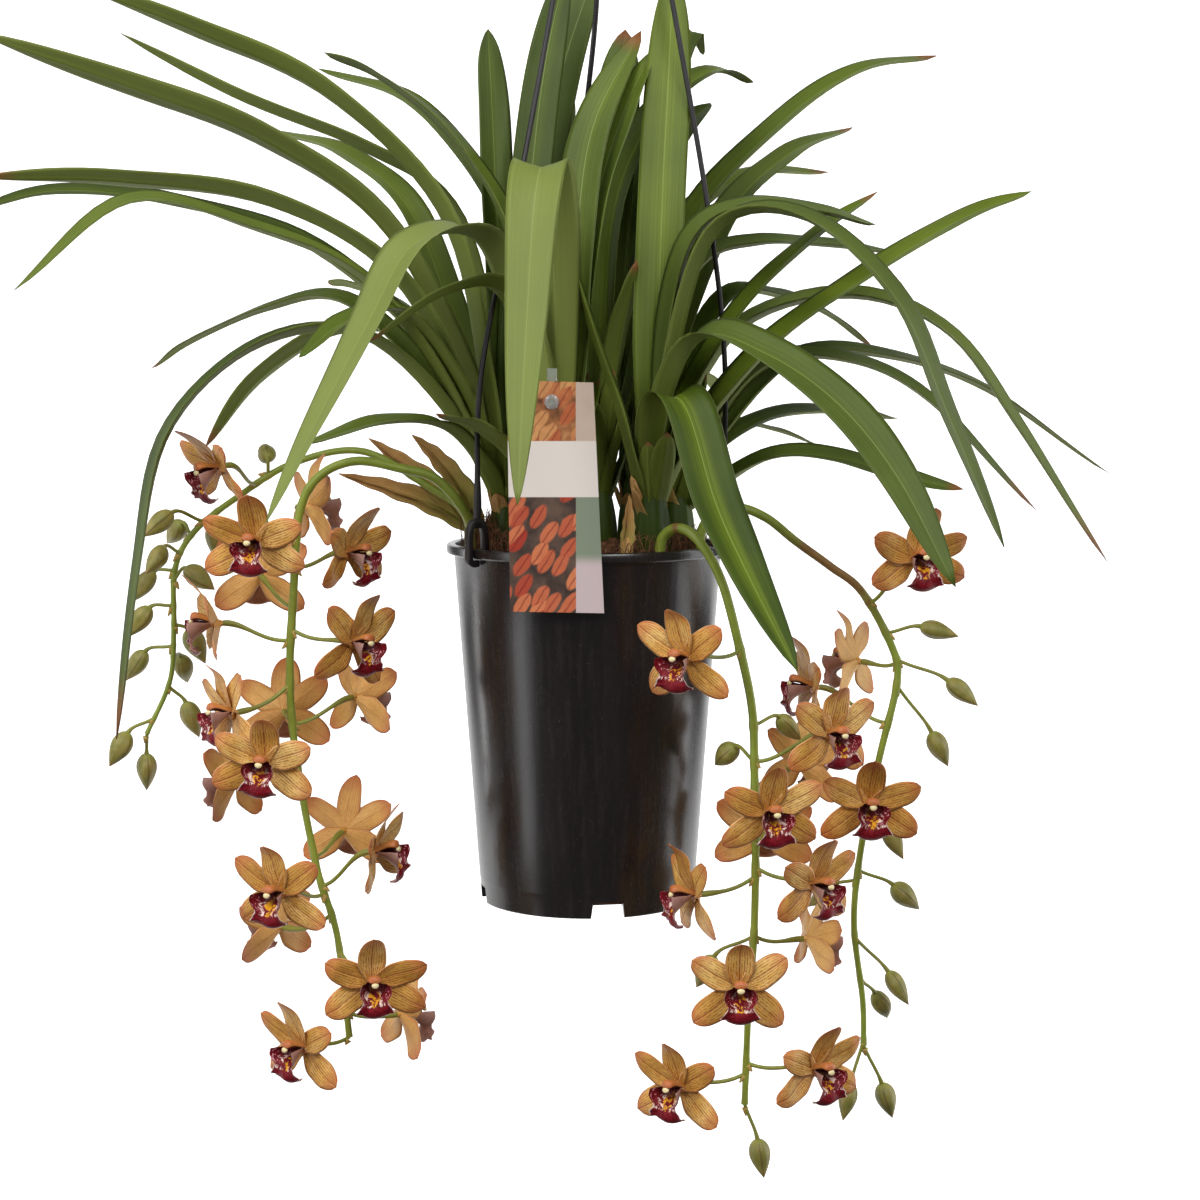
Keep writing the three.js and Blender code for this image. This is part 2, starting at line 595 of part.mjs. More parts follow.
// A bud and its stalk are one skin
function bud(root, centre) {
  const axis = centre.clone().sub(root).normalize().add(vec(0, 0, -0.7)).normalize();
  const side = vec(0, 0, 0).crossVectors(axis, Math.abs(axis.z) > 0.9 ? vec(1, 0, 0) : UP).normalize();
  const place = (share) => centre.clone().addScaledVector(axis, BUD_LENGTH * share);
  const neck = place(-0.5);
  return toSolid(skin([
    circle(root, side, neck.clone().sub(root).normalize(), 1.2, 4),
    circle(neck, side, axis, 1.5, 4),
    circle(place(-0.2), side, axis, BUD_RADIUS, 4),
    circle(place(0.2), side, axis, BUD_RADIUS * 0.9, 4),
    [place(0.5)],
  ]));
}

function spikeSolid({ radii, stem, blooms, buds }) {
  const points = stem.map((p) => vec(...p));
  const foot = points[0].clone().setZ(-SOIL_DEPTH - ROOT_DEPTH);
  const peg = toSolid(upright(foot.x, foot.y, 6, [[radii[0], foot.z], [radii[0], points[0].z + 1]]));
  const stalk = toSolid(rod(points, points.length + 2, 5, (t) => mix(radii[0], radii[1], t)));
  const stalks = blooms.map(([t, centre, azimuth, elevation]) =>
    pedicel(along(points, t), vec(...centre), facing(azimuth, elevation)));
  return join([peg, stalk, ...stalks, ...buds.map(([t, centre]) => bud(along(points, t), vec(...centre)))]);
}

// Blooms: five tepals, a lip with two side lobes, and the column, joined in one flower.
// In its own frame a bloom faces +Z and its dorsal sepal points along +Y.

const bloomForms = [
  { petal: 58, sepal: 122, open: 0 },
  { petal: 64, sepal: 116, open: 2.5 },
  { petal: 52, sepal: 128, open: -2 },
];

// A tepal is [turn from the dorsal direction, length, width, [rise towards the viewer at each ring]]
const tepalsOf = ({ petal, sepal, open }) => [
  [0, 35, 18, [3, 7 + open, 12 + open]],
  [petal, 35, 15, [3, 4 + open, 2 + open]],
  [sepal, 35, 17, [2, 3 + open, 1 + open]],
  [360 - sepal, 35, 17, [2, 3 + open, 1 + open]],
  [360 - petal, 35, 15, [3, 4 + open, 2 + open]],
];

const inFlower = (turn, radius, z) => vec(
  radius * Math.sin(radians(turn)),
  radius * Math.cos(radians(turn)),
  z,
);

// The five tepals share the corners between them and close onto the column in front and the
// flat hub behind, so the whole flower is one skin.
function flowerShell(tepals) {
  const count = tepals.length;
  const points = [];
  const triangles = [];
  const put = (...added) => points.push(...added) - added.length;
  const nextOf = (k) => (k + 1) % count;
  const band = (lower, upper, sides) => {
    for (let k = 0; k < sides; k++) {
      const next = (k + 1) % sides;
      triangles.push(...patch(lower[k], lower[next], upper[next], upper[k], k));
    }
  };
  const numbers = (start, length) => Array.from({ length }, (_, k) => start + k);
  const ringOf = (y, z, radius) => numbers(
    put(...tepals.map(([turn]) => inFlower(turn, radius, z).add(vec(0, y, 0)))), count,
  );
  const back = ringOf(0, -BLOOM_BACK, 2.6);
  const foot = ringOf(0, 1.5, 3.2);
  const cap = ringOf(4, 14, 2.9);
  band(foot, cap, count);
  for (let k = 1; k < count - 1; k++) {
    triangles.push([cap[0], cap[k], cap[k + 1]], [back[0], back[k + 1], back[k]]);
  }
  const corners = tepals.map(([turn], k) => {
    const following = tepals[nextOf(k)][0] + (k === count - 1 ? 360 : 0);
    return put(inFlower((turn + following) / 2, 4.6, 0));
  });
  tepals.forEach(([turn, length, width, rises], k) => {
    const away = inFlower(turn, 1, 0);
    const across = vec(away.y, -away.x, 0);
    const before = corners[(k + count - 1) % count];
    const behind = put(inFlower(turn, 5.5, -TEPAL_THICKNESS / 2));
    const front = put(inFlower(turn, 5.5, TEPAL_THICKNESS));
    let ring = [behind, corners[k], front, before];
    [[0.42, 1], [0.76, 0.8]].forEach(([share, spread], i) => {
      const centre = away.clone().multiplyScalar(length * share).setZ(rises[i]);
      const section = bladeSection(centre, across, vec(0, 0, 1), width * spread, 1.2, TEPAL_THICKNESS);
      const outer = numbers(put(...section), 4);
      band(ring, outer, 4);
      ring = outer;
    });
    const tip = put(away.clone().multiplyScalar(length).setZ(rises[2]));
    ring.forEach((corner, i) => triangles.push([corner, ring[(i + 1) % 4], tip]));
    triangles.push([before, front, foot[k]], [front, corners[k], foot[k]]);
    triangles.push([corners[k], foot[nextOf(k)], foot[k]]);
    triangles.push([behind, before, back[k]], [corners[k], behind, back[k]]);
    triangles.push([back[nextOf(k)], corners[k], back[k]]);
  });
  return toSolid(closedMesh(points, triangles));
}

// The lip is a trough whose raised edges are the side lobes, and its end turns down
function lip() {
  const stations = [
    { y: 0.6, z: 2.5, breadth: 2.2, lift: 0.5 },
    { y: -5, z: 10, breadth: 16, lift: 9 },
    { y: -12, z: 19, breadth: 14, lift: 1.5 },
    { y: -25, z: 17, breadth: 12, lift: -1.5 },
  ];
  const across = vec(1, 0, 0);
  const rings = stations.map(({ y, z, breadth, lift }, i) => {
    const previous = stations[Math.max(i - 1, 0)];
    const next = stations[Math.min(i + 1, stations.length - 1)];
    const tangent = vec(0, next.y - previous.y, next.z - previous.z).normalize();
    const over = vec(0, 0, 0).crossVectors(tangent, across);
    return bladeSection(vec(0, y, z), across, over, breadth, lift, 1.5);
  });
  return toSolid(skin(rings));
}

const bloomSolid = (form) => flowerShell(tepalsOf(form)).add(lip());

const bloomGeometries = bloomForms.map((form) => toGeometry(bloomSolid(form)));

// Husks: dry sheaths at the foot of the growths, each group on one root

const husks = {
  husk_left: { at: [-68, 6], blades: [
    [[-70, 6, 4], [-92, 8, 30], [-118, 8, 50], [-140, 8, 66]],
    [[-68, 8, 4], [-82, 14, 34], [-98, 16, 54], [-113, 16, 68]],
    [[-68, 4, 6], [-94, 5, 22], [-128, 10, 34], [-160, 14, 43]],
  ], width: 16 },
  husk_right: { at: [24, -62], blades: [
    [[24, -62, -4], [25, -63, 14], [26, -63, 34]],
  ], width: 10 },
};

function huskSolid({ at, blades, width }) {
  const root = toSolid(upright(...at, 6, [[4, -SOIL_DEPTH - ROOT_DEPTH], [5, -4], [2.5, 8]]));
  const sheaths = blades.map((blade) => {
    const points = blade.map((p) => vec(...p));
    const rings = [0, 0.3, 0.65].map((t, i) => {
      const tangent = heading(points, t);
      const across = vec(0, 0, 0).crossVectors(tangent, vec(0, 1, 0)).normalize();
      const over = vec(0, 0, 0).crossVectors(across, tangent);
      return bladeSection(along(points, t), across, over, width * [0.6, 1, 0.7][i], -2.5, 1.4);
    });
    rings.push([along(points, 1)]);
    return toSolid(skin(rings));
  });
  return join([root, ...sheaths]);
}

// Materials and assembly

const finishes = {
  pot: { color: 0x2a2626, roughness: 0.28, metalness: 0 },
  medium: { color: 0x4a3220, roughness: 0.95, metalness: 0 },
  hanger: { color: 0x1d1719, roughness: 0.5, metalness: 0 },
  label: { color: 0xd8cfc4, roughness: 0.5, metalness: 0 },
  stake: { color: 0xe8ecec, roughness: 0.15, metalness: 0 },
  leaf: { color: 0x4d6a25, roughness: 0.5, metalness: 0 },
  stem: { color: 0x8f9a3a, roughness: 0.5, metalness: 0 },
  bloom: { color: 0xc98a4b, roughness: 0.55, metalness: 0 },
  husk: { color: 0x8a5a2c, roughness: 0.8, metalness: 0 },
};

const part = new THREE.Group();
part.position.set(-HUB_X, 0, -CROWN_Z);

function addMesh(name, geometry, finish) {
  const mesh = new THREE.Mesh(geometry, new THREE.MeshStandardMaterial(finishes[finish]));
  mesh.name = name;
  part.add(mesh);
  return mesh;
}

const { stake, hole: stakeHole } = stakeSolid();
const holes = [
  ...Object.values(growths).map(({ at }) => rootHole(...at, BULB_RADIUS + GAP, 7)),
  ...Object.values(spikes).map(({ stem, radii }) => rootHole(stem[0][0], stem[0][1], radii[0] + GAP + 0.1)),
  ...Object.values(husks).map(({ at }) => rootHole(...at, 5.2)),
  stakeHole,
];

addMesh("pot", toGeometry(potSolid()), "pot");
addMesh("growing_medium", toGeometry(mediumSolid(holes)), "medium");
addMesh("hanger_hook", toGeometry(hookSolid()), "hanger");
Object.keys(strandRoutes).forEach((name) => {
  addMesh(`hanger_strand_${name}`, toGeometry(strandSolid(name)), "hanger");
});
addMesh("plant_label", toGeometry(labelSolid()), "label");
addMesh("label_stake", toGeometry(stake), "stake");
Object.entries(growths).forEach(([name, growth]) => addMesh(name, toGeometry(growthSolid(growth)), "leaf"));
Object.entries(husks).forEach(([name, husk]) => addMesh(name, toGeometry(huskSolid(husk)), "husk"));

let bloomNumber = 0;
Object.entries(spikes).forEach(([name, spike]) => {
  addMesh(name, toGeometry(spikeSolid(spike)), "stem");
  spike.blooms.forEach(([, centre, azimuth, elevation, roll]) => {
    bloomNumber += 1;
    const number = String(bloomNumber).padStart(2, "0");
    const mesh = addMesh(`bloom_${number}`, bloomGeometries[bloomNumber % bloomGeometries.length], "bloom");
    const look = facing(azimuth, elevation);
    const top = UP.clone().applyAxisAngle(look, radians(roll));
    const across = vec(0, 0, 0).crossVectors(top, look).normalize();
    mesh.position.set(...centre);
    mesh.quaternion.setFromRotationMatrix(
      new THREE.Matrix4().makeBasis(across, vec(0, 0, 0).crossVectors(look, across), look),
    );
  });
});

export default part;
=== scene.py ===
# %% [markdown]
# # A hanging pot of cymbidium orchids
# This script dresses a plain solid model of a potted orchid so that it looks alive. The solids
# give the size and the place of every leaf, stem and bloom. Here each of them gets its real
# surface: veined strap leaves, waxy striped petals, a gloss pot and coarse bark. All pieces stay
# in one frame, in metres, whose origin is the inside of the hook that the pot hangs from.

import math
from functools import partial

import bpy
import numpy as np
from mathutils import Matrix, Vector


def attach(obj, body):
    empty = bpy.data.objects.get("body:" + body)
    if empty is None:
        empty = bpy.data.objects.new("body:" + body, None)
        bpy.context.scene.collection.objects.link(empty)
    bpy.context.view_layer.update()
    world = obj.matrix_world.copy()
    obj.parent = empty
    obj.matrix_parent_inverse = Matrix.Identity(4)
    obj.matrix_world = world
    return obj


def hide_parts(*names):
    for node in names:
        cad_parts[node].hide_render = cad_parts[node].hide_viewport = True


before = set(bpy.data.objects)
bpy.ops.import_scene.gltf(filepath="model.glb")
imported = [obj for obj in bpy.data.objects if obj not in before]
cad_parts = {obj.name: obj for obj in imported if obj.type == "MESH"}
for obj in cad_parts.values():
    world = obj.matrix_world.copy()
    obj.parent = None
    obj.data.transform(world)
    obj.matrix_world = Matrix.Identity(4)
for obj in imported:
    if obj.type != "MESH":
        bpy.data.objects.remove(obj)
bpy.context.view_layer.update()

# %% [markdown]
# ## One ruler for everything
# The plant was laid out in millimetres from the middle of the pot's rim, which is where a grower
# would measure from. One function turns such points into the frame's metres, so that the tables
# below can be read against a tape measure. Paths run smoothly through a few listed points,
# by the same rule that the solids use, and so leaf and solid follow one line.

# %% Measures, paths and directions
HOOK_ORIGIN = np.array([14.0, 0.0, 637.0])
UP = np.array([0.0, 0.0, 1.0])
SOIL_DEPTH = 12.0
ROOT_DEPTH = 16.0


def metres(points):
    """Millimetres from the middle of the rim, as metres in the frame."""
    return (np.asarray(points, float) - HOOK_ORIGIN) / 1000


def unit(vectors):
    return vectors / np.linalg.norm(vectors, axis=-1, keepdims=True)


def mix(a, b, t):
    return a + (b - a) * t


def ease(t):
    """From 0 to 1 with a soft start and a soft stop."""
    t = np.clip(t, 0, 1)
    return t * t * (3 - 2 * t)


def bell(t, width, power=2):
    """1 where t is 0, and down to nearly 0 where it is twice the width away."""
    return np.exp(-((t / width) ** power))


def along(points, t):
    """Points of the smooth path through given points, at the shares t of the way."""
    points = np.asarray(points, float)
    padded = np.vstack([2 * points[0] - points[1], points, 2 * points[-1] - points[-2]])
    last = len(points) - 1
    t = np.atleast_1d(np.asarray(t, float))
    span = np.minimum((t * last).astype(int), last - 1)
    u = (t * last - span)[:, None]
    a, b, c, d = (padded[span + k] for k in range(4))
    curve = (2 * a - 5 * b + 4 * c - d) * u**2 + (3 * b - a - 3 * c + d) * u**3
    return 0.5 * (2 * b + (c - a) * u + curve)


def heading(points, t):
    t = np.atleast_1d(np.asarray(t, float))
    step = 0.01
    return unit(along(points, np.minimum(t + step, 1)) - along(points, np.maximum(t - step, 0)))


def turned(vectors, axes, angles):
    """Vectors turned about axes by angles in radians."""
    angles = np.asarray(angles, float)[..., None]
    lengthwise = axes * np.sum(axes * vectors, axis=-1, keepdims=True)
    sideways = np.cross(axes, vectors)
    return vectors * np.cos(angles) + sideways * np.sin(angles) + lengthwise * (1 - np.cos(angles))


def bearing(azimuth, elevation=0.0):
    """A direction from an azimuth and an elevation in degrees."""
    a, e = math.radians(azimuth), math.radians(elevation)
    return np.array([math.cos(a) * math.cos(e), math.sin(a) * math.cos(e), math.sin(e)])


print("rim centre in the frame:", metres([0, 0, 0]).round(3))


# %% Meshes, objects and rings
def placed(name, data):
    """A new object in the scene, for a mesh, a light or a camera."""
    item = bpy.data.objects.new(name, data)
    bpy.context.scene.collection.objects.link(item)
    return item


def mesh_of(name, points, edges=(), faces=()):
    """A mesh whose points are given in millimetres."""
    mesh = bpy.data.meshes.new(name)
    mesh.from_pydata(metres(points).tolist(), edges, faces)
    return mesh


def set_values(node, **values):
    """Fixed values for a node's inputs, with _ for a space in an input's name."""
    for key, value in values.items():
        node.inputs[key.replace("_", " ")].default_value = value


def ring(count, shift=0.0):
    """Angles that go once round in equal steps."""
    return (np.arange(count) + shift) * 2 * np.pi / count


def hoop(middle, radius, height, angles):
    """A level ring of points round an upright axis."""
    x = middle[0] + radius * np.cos(angles)
    y = middle[1] + radius * np.sin(angles)
    return np.c_[x, y, np.full(len(angles), height)]


print("a ring of four:", np.degrees(ring(4)))

# %% [markdown]
# ## Camera, light and a white sweep
# The photograph was taken at pot height with a long lens, on seamless white. The camera stands
# 1.67 m in front of the pot and looks down by less than six degrees. A gloss black pot shows
# what stands around it, so two tall soft lights at the sides draw the long upright bands on its
# wall, while the front stays dark. A large light overhead models the leaves and the petals.

# %% Camera
CAMERA_PLACE = (8, -1674, 132)
CAMERA_TILT = 5.77
SENSOR_WIDTH, FOCAL_LENGTH, FAR_LIMIT = 36, 78.7, 20

camera = placed("camera", bpy.data.cameras.new("camera"))
camera.location = metres(CAMERA_PLACE)
camera.rotation_euler = (math.radians(90 - CAMERA_TILT), 0, 0)
camera.data.sensor_width = SENSOR_WIDTH
camera.data.lens = FOCAL_LENGTH
camera.data.clip_end = FAR_LIMIT
bpy.context.scene.camera = camera
bpy.context.scene.view_settings.view_transform = "Standard"
print("camera at", [round(v, 3) for v in camera.location])

# %% Lights
pot_middle = Vector(metres([0, 0, -60]))


def soft_light(name, azimuth, distance, height, size, power):
    """A soft rectangular light on a stand, at an azimuth from the camera's side of the pot."""
    light = bpy.data.lights.new(name, "AREA")
    light.shape = "RECTANGLE"
    light.size, light.size_y = size
    light.energy = power
    lamp = placed(name, light)
    a = math.radians(azimuth)
    lamp.location = pot_middle + Vector((math.sin(a) * distance, -math.cos(a) * distance, height))
    lamp.rotation_euler = (pot_middle - lamp.location).to_track_quat("-Z", "Y").to_euler()
    return lamp


lights = [
    soft_light("overhead", -20, 0.9, 1.9, (1.5, 1.3), 23),
    soft_light("left_band", -62, 1.9, 0.1, (0.5, 2.0), 10),
    soft_light("left_line", -116, 1.8, 0.1, (0.12, 1.9), 7),
    soft_light("right_band", 102, 1.7, 0.1, (0.75, 2.0), 17),
    soft_light("front_right", 24, 2.4, 1.4, (1.0, 0.8), 28),
    soft_light("front_left", -34, 2.4, 1.2, (1.0, 0.8), 23),
]
print("lights:", len(lights))

# %% [markdown]
# The world is a plain soft grey. A sweep of white paper runs under the pot and up behind it, far
# enough away that the hanging plant throws no shadow on it. It glows a little, as lit paper does.

# %% World and sweep
WHITE, PAPER_WHITE = (1, 1, 1, 1), (0.9, 0.9, 0.9, 1)
SKY_GLOW, PAPER_GLOW = 0.15, 0.75
SWEEP_FLOOR, SWEEP_BACK, SWEEP_BEND = -560.0, 2600.0, 900.0
SWEEP_FRONT, SWEEP_TOP, SWEEP_HALF = 150, 2200, 1500.0

world = bpy.data.worlds.new("studio")
bpy.context.scene.world = world
world.use_nodes = True
sky = world.node_tree
grey = sky.nodes["Background"]
seen = sky.nodes.new("ShaderNodeLightPath")
white = sky.nodes.new("ShaderNodeBackground")
both = sky.nodes.new("ShaderNodeMixShader")
set_values(grey, Color=WHITE, Strength=SKY_GLOW)
set_values(white, Color=WHITE, Strength=1.0)
sky.links.new(seen.outputs["Is Camera Ray"], both.inputs["Fac"])
sky.links.new(grey.outputs["Background"], both.inputs[1])
sky.links.new(white.outputs["Background"], both.inputs[2])
sky.links.new(both.outputs["Shader"], sky.nodes["World Output"].inputs["Surface"])


def sweep_profile():
    """Depth and height of the paper, from under the pot to high behind it."""
    turn = np.radians(np.linspace(0, 90, 17))
    bend = np.c_[
        SWEEP_BACK - SWEEP_BEND + SWEEP_BEND * np.sin(turn),
        SWEEP_FLOOR + SWEEP_BEND - SWEEP_BEND * np.cos(turn),
    ]
    return np.vstack([[SWEEP_FRONT, SWEEP_FLOOR], bend, [SWEEP_BACK, SWEEP_TOP]])


profile = sweep_profile()
sweep_points = [(x, y, z) for y, z in profile for x in (-SWEEP_HALF, SWEEP_HALF)]
sweep_faces = [(k, k + 1, k + 3, k + 2) for k in range(0, 2 * len(profile) - 2, 2)]
sweep_mesh = mesh_of("sweep", sweep_points, faces=sweep_faces)
sweep_mesh.shade_smooth()
placed("sweep", sweep_mesh)
paper = bpy.data.materials.new("sweep_paper")
paper.use_nodes = True
set_values(
    paper.node_tree.nodes["Principled BSDF"], Base_Color=PAPER_WHITE, Roughness=1.0,
    Emission_Color=WHITE, Emission_Strength=PAPER_GLOW,
)
sweep_mesh.materials.append(paper)
print("sweep faces:", len(sweep_mesh.polygons))

# %% [markdown]
# ## Nodes written as plain Python
# A material is a small sum: this much vein, that much blush, and less of both at the edge. Wired
# by hand such a sum takes dozens of nodes, so a small class lets Python write it. It wraps a
# node's output, and each + or * on it adds the Math node that does the same.


# %% A socket that can do sums
def add_node(tree, kind, inputs=None, output=0, **settings):
    """Adds a node: its settings first, then the values or links of its sockets."""
    node = tree.nodes.new(kind)
    for name, value in settings.items():
        if name == "stops":
            set_stops(node.color_ramp, value)
        else:
            setattr(node, name, value)
    for key, value in (inputs or {}).items():
        connect(tree, node.inputs[key], value)
    return Socket(tree, node.outputs[output])


def connect(tree, socket, value):
    """Links a socket to another one, or sets it to a plain value."""
    if isinstance(value, Socket):
        tree.links.new(value.output, socket)
    else:
        socket.default_value = value


def set_stops(ramp, stops):
    while len(ramp.elements) < len(stops):
        ramp.elements.new(0.5)
    for element, (position, colour) in zip(ramp.elements, stops):
        element.position = position
        element.color = colour


class Socket:
    """The output of a node, with Python's arithmetic."""

    def __init__(self, tree, output):
        self.tree = tree
        self.output = output

    def sum_of(self, operation, *values):
        return add_node(self.tree, "ShaderNodeMath", dict(enumerate(values)), operation=operation)

    def __add__(self, other):
        return self.sum_of("ADD", self, other)

    def __sub__(self, other):
        return self.sum_of("SUBTRACT", self, other)

    def __rsub__(self, other):
        return self.sum_of("SUBTRACT", other, self)

    def __mul__(self, other):
        return self.sum_of("MULTIPLY", self, other)

    def __truediv__(self, other):
        return self.sum_of("DIVIDE", self, other)

    def __abs__(self):
        return self.sum_of("ABSOLUTE", self)

    __radd__ = __add__
    __rmul__ = __mul__

    def fraction(self):
        return self.sum_of("FRACT", self)

    def rises(self, start, stop):
        """0 below start and 1 above stop, with a soft step between them; it falls if stop < start."""
        ends = (start, stop, 0.0, 1.0) if start < stop else (stop, start, 1.0, 0.0)
        inputs = dict(enumerate((self, *ends)))
        return add_node(self.tree, "ShaderNodeMapRange", inputs, interpolation_type="SMOOTHSTEP")


def rgb(red, green, blue):
    """A colour read off a screen, 0 to 255 each, as the linear numbers that a shader takes."""
    shares = np.array([red, green, blue]) / 255
    linear = np.where(shares <= 0.04045, shares / 12.92, ((shares + 0.055) / 1.055) ** 2.4)
    return (*linear.tolist(), 1.0)


print("mid grey is", [round(v, 3) for v in rgb(128, 128, 128)])


# %% A finish is one Principled shader and the sums that feed it
class Finish:
    """A material in the making, with the patterns that this plant needs."""

    def __init__(self, name, **fixed):
        self.material = bpy.data.materials.new(name)
        self.material.use_nodes = True
        self.tree = self.material.node_tree
        self.shader = self.tree.nodes["Principled BSDF"]
        self.feed(**fixed)

    def feed(self, **values):
        for key, value in values.items():
            connect(self.tree, self.shader.inputs[key.replace("_", " ")], value)

    def node(self, *given, **settings):
        return add_node(self.tree, *given, **settings)

    def place(self, upright=1):
        """Where a point is in the frame, in metres, with its height multiplied by upright."""
        inside = self.node("ShaderNodeTexCoord", output="Object")
        return self.node("ShaderNodeMapping", {"Vector": inside, "Scale": (1, 1, upright)})

    def axis(self, vector, number=0):
        return self.node("ShaderNodeSeparateXYZ", {0: vector}, number)

    def grain(self):
        """Across and along a blade: 0 to 1 across its face and 1 to 2 across its back."""
        both = self.node("ShaderNodeUVMap", uv_map="grain")
        self.across, self.length = self.axis(both), self.axis(both, 1)
        return self.across, self.length

    def blade(self):
        """Along a blade, 1 on its back, across it from 0 to 1, and out from its middle line."""
        across, length = self.grain()
        inside = across.fraction()
        return length, across.rises(0.999, 1.001), inside, abs(inside - 0.5)

    def attribute(self, name):
        return self.node("ShaderNodeAttribute", output="Fac", attribute_name=name)

    def vector(self, x, y, z=0.0):
        return self.node("ShaderNodeCombineXYZ", {0: x, 1: y, 2: z})

    def noise(self, vector, scale, detail, roughness, distortion=0.0):
        inputs = {"Vector": vector, "Scale": scale, "Detail": detail}
        inputs |= {"Roughness": roughness, "Distortion": distortion}
        return self.node("ShaderNodeTexNoise", inputs)

    def cloud(self, scale, detail, roughness, upright=1):
        """Noise by place in the frame, drawn out upright where upright is small."""
        return self.noise(self.place(upright), scale, detail, roughness)

    def strands(self, across, lengthwise, layer, detail, roughness, distortion=0.0):
        """Noise on a blade's own map, squeezed so many times across it and along it."""
        place = self.vector(self.across * across, self.length * lengthwise, layer)
        return self.noise(place, 1.0, detail, roughness, distortion)

    def blend(self, share, first, second):
        """First colour where share is 0, second where it is 1."""
        inputs = {0: share, 6: first, 7: second}
        return self.node("ShaderNodeMix", inputs, 2, data_type="RGBA", clamp_factor=True)

    def coats(self, colour, *coats):
        """A colour under thin coats, each given as its share, then red, green and blue."""
        for share, *tint in coats:
            colour = self.blend(share, colour, rgb(*tint))
        return colour

    def shades(self, share, *stops):
        """A run of colours, each given as its place on the run, then red, green and blue."""
        stops = [(place, rgb(*tint)) for place, *tint in stops]
        return self.node("ShaderNodeValToRGB", {"Fac": share}, "Color", stops=stops)

    def bump(self, height, distance, strength):
        inputs = {"Height": height, "Distance": distance, "Strength": strength}
        self.feed(Normal=self.node("ShaderNodeBump", inputs, "Normal"))


print("finish class ready")

# %% [markdown]
# ## Gloss plastic, dark plastic and bark
# The pot is thin polypropylene, blown in a polished mould: near black, glossy, with faint upright
# streaks where the plastic flowed and a film of dust that dulls the shine here and there. The
# streaks are noise squeezed sideways, so they run up the wall.


# %% Pot, hanger and medium
def pot_finish():
    f = Finish("pot_gloss_black")
    streak = f.cloud(260, 4, 0.6, 0.035)
    wide = f.cloud(55, 3, 0.5, 0.08)
    dust = f.cloud(420, 4, 0.65, 0.5)
    scuff = f.cloud(950, 2, 0.5).rises(0.72, 0.78)
    film = dust.rises(0.45, 0.8) * 0.3 + streak.rises(0.45, 0.7) * 0.3 + wide.rises(0.4, 0.7) * 0.2
    colour = f.coats(rgb(20, 15, 15), (film, 46, 39, 38), (scuff * 0.35, 120, 110, 100))
    f.feed(Base_Color=colour, Roughness=0.25 + film * 0.07 + scuff * 0.3)
    f.bump(streak * 0.6 + dust * 0.15, 0.00016, 0.5)
    return f.material


def hanger_finish():
    f = Finish("hanger_satin_black")
    mould = f.cloud(900, 3, 0.6)
    worn = f.cloud(60, 4, 0.6, 0.25).rises(0.45, 0.8)
    colour = f.coats(rgb(24, 19, 22), (worn * 0.6, 58, 51, 54))
    f.feed(Base_Color=colour, Roughness=0.36 + mould * 0.16 + worn * 0.1)
    f.bump(mould, 0.0001, 0.35)
    return f.material


def bark_finish():
    f = Finish("bark_and_fibre")
    chip = f.cloud(90, 2, 0.5)
    fibre = f.cloud(700, 5, 0.7, 0.3)
    worn = f.shades(chip * 0.6 + fibre * 0.4, (0.25, 48, 28, 17), (0.5, 104, 66, 40), (0.75, 158, 110, 70))
    colour = f.coats(worn, (fibre.rises(0.6, 0.85) * 0.4, 186, 148, 104))
    f.feed(Base_Color=colour, Roughness=0.82 + fibre * 0.15)
    f.bump(fibre, 0.0009, 0.8)
    return f.material


pot_gloss = pot_finish()
hanger_satin = hanger_finish()
bark = bark_finish()
print("finishes:", pot_gloss.name, hanger_satin.name, bark.name)

# %% [markdown]
# ## Leaves: strap blades with parallel veins
# A cymbidium leaf is a long strap. Its veins all run lengthwise, with a sunken midrib on the
# face and a keel on the back. The back is greyer and duller. Each blade carries its own map,
# across and along, and the veins are fine noise squeezed along that map, so they bend with the
# leaf. A tone for each leaf keeps fifty-three of them from looking like copies. On the two front
# leaves that hang towards the camera, a high tone and a pale coat are painted sheen: light
# reflected off their upper face.


# %% Leaf finish
def leaf_finish():
    f = Finish("leaf_satin_green", Specular_IOR_Level=0.26)
    length, back, _, middle = f.blade()
    tone = f.attribute("tone")
    veins = f.strands(46, 1.6, tone * 37, 2, 0.6)
    fine = f.strands(150, 5, tone * 11, 1, 0.5)
    patches = f.cloud(16, 3, 0.55)
    shade = tone * 0.66 + patches * 0.4 + veins * 0.36 - 0.24
    face = f.shades(shade, (0.08, 24, 38, 6), (0.4, 60, 78, 13), (0.72, 98, 114, 25), (1.0, 144, 156, 56))
    dull = f.coats(face, (0.36 + fine * 0.2, 114, 124, 48))
    colour = f.coats(
        f.blend(back, face, dull),
        (f.attribute("glow") * middle.rises(0.3, 0.0) * veins.rises(0.2, 0.7), 126, 146, 30),
        (length.rises(0.13, 0.0) * 0.6, 152, 162, 70),
        (middle.rises(0.018, 0.006) * 0.45, 146, 162, 88),
        (middle.rises(0.478, 0.492) * 0.4, 158, 168, 96),
        # Pale grey-green coat: a random paleness on most leaves, and a painted sheen (light reflected off
        # the upper face) on the two front leaves that hang towards the camera.
        (f.attribute("pale") * (0.45 + fine * 0.2), 140, 150, 84),
        (f.attribute("dry") * length.rises(0.93, 0.985), 126, 82, 44),
    )
    f.feed(Base_Color=colour, Roughness=0.42 + veins * 0.14 + back * 0.16)
    f.bump(veins * 0.6 + fine * 0.4, 0.00022, 0.55)
    return f.material


leaf_green = leaf_finish()
print("leaf nodes:", len(leaf_green.node_tree.nodes))

# %% [markdown]
# Dry sheaths clasp the foot of each growth. They are old leaf bases that have turned to brown
# paper, with coarse fibres along them and a greener root.


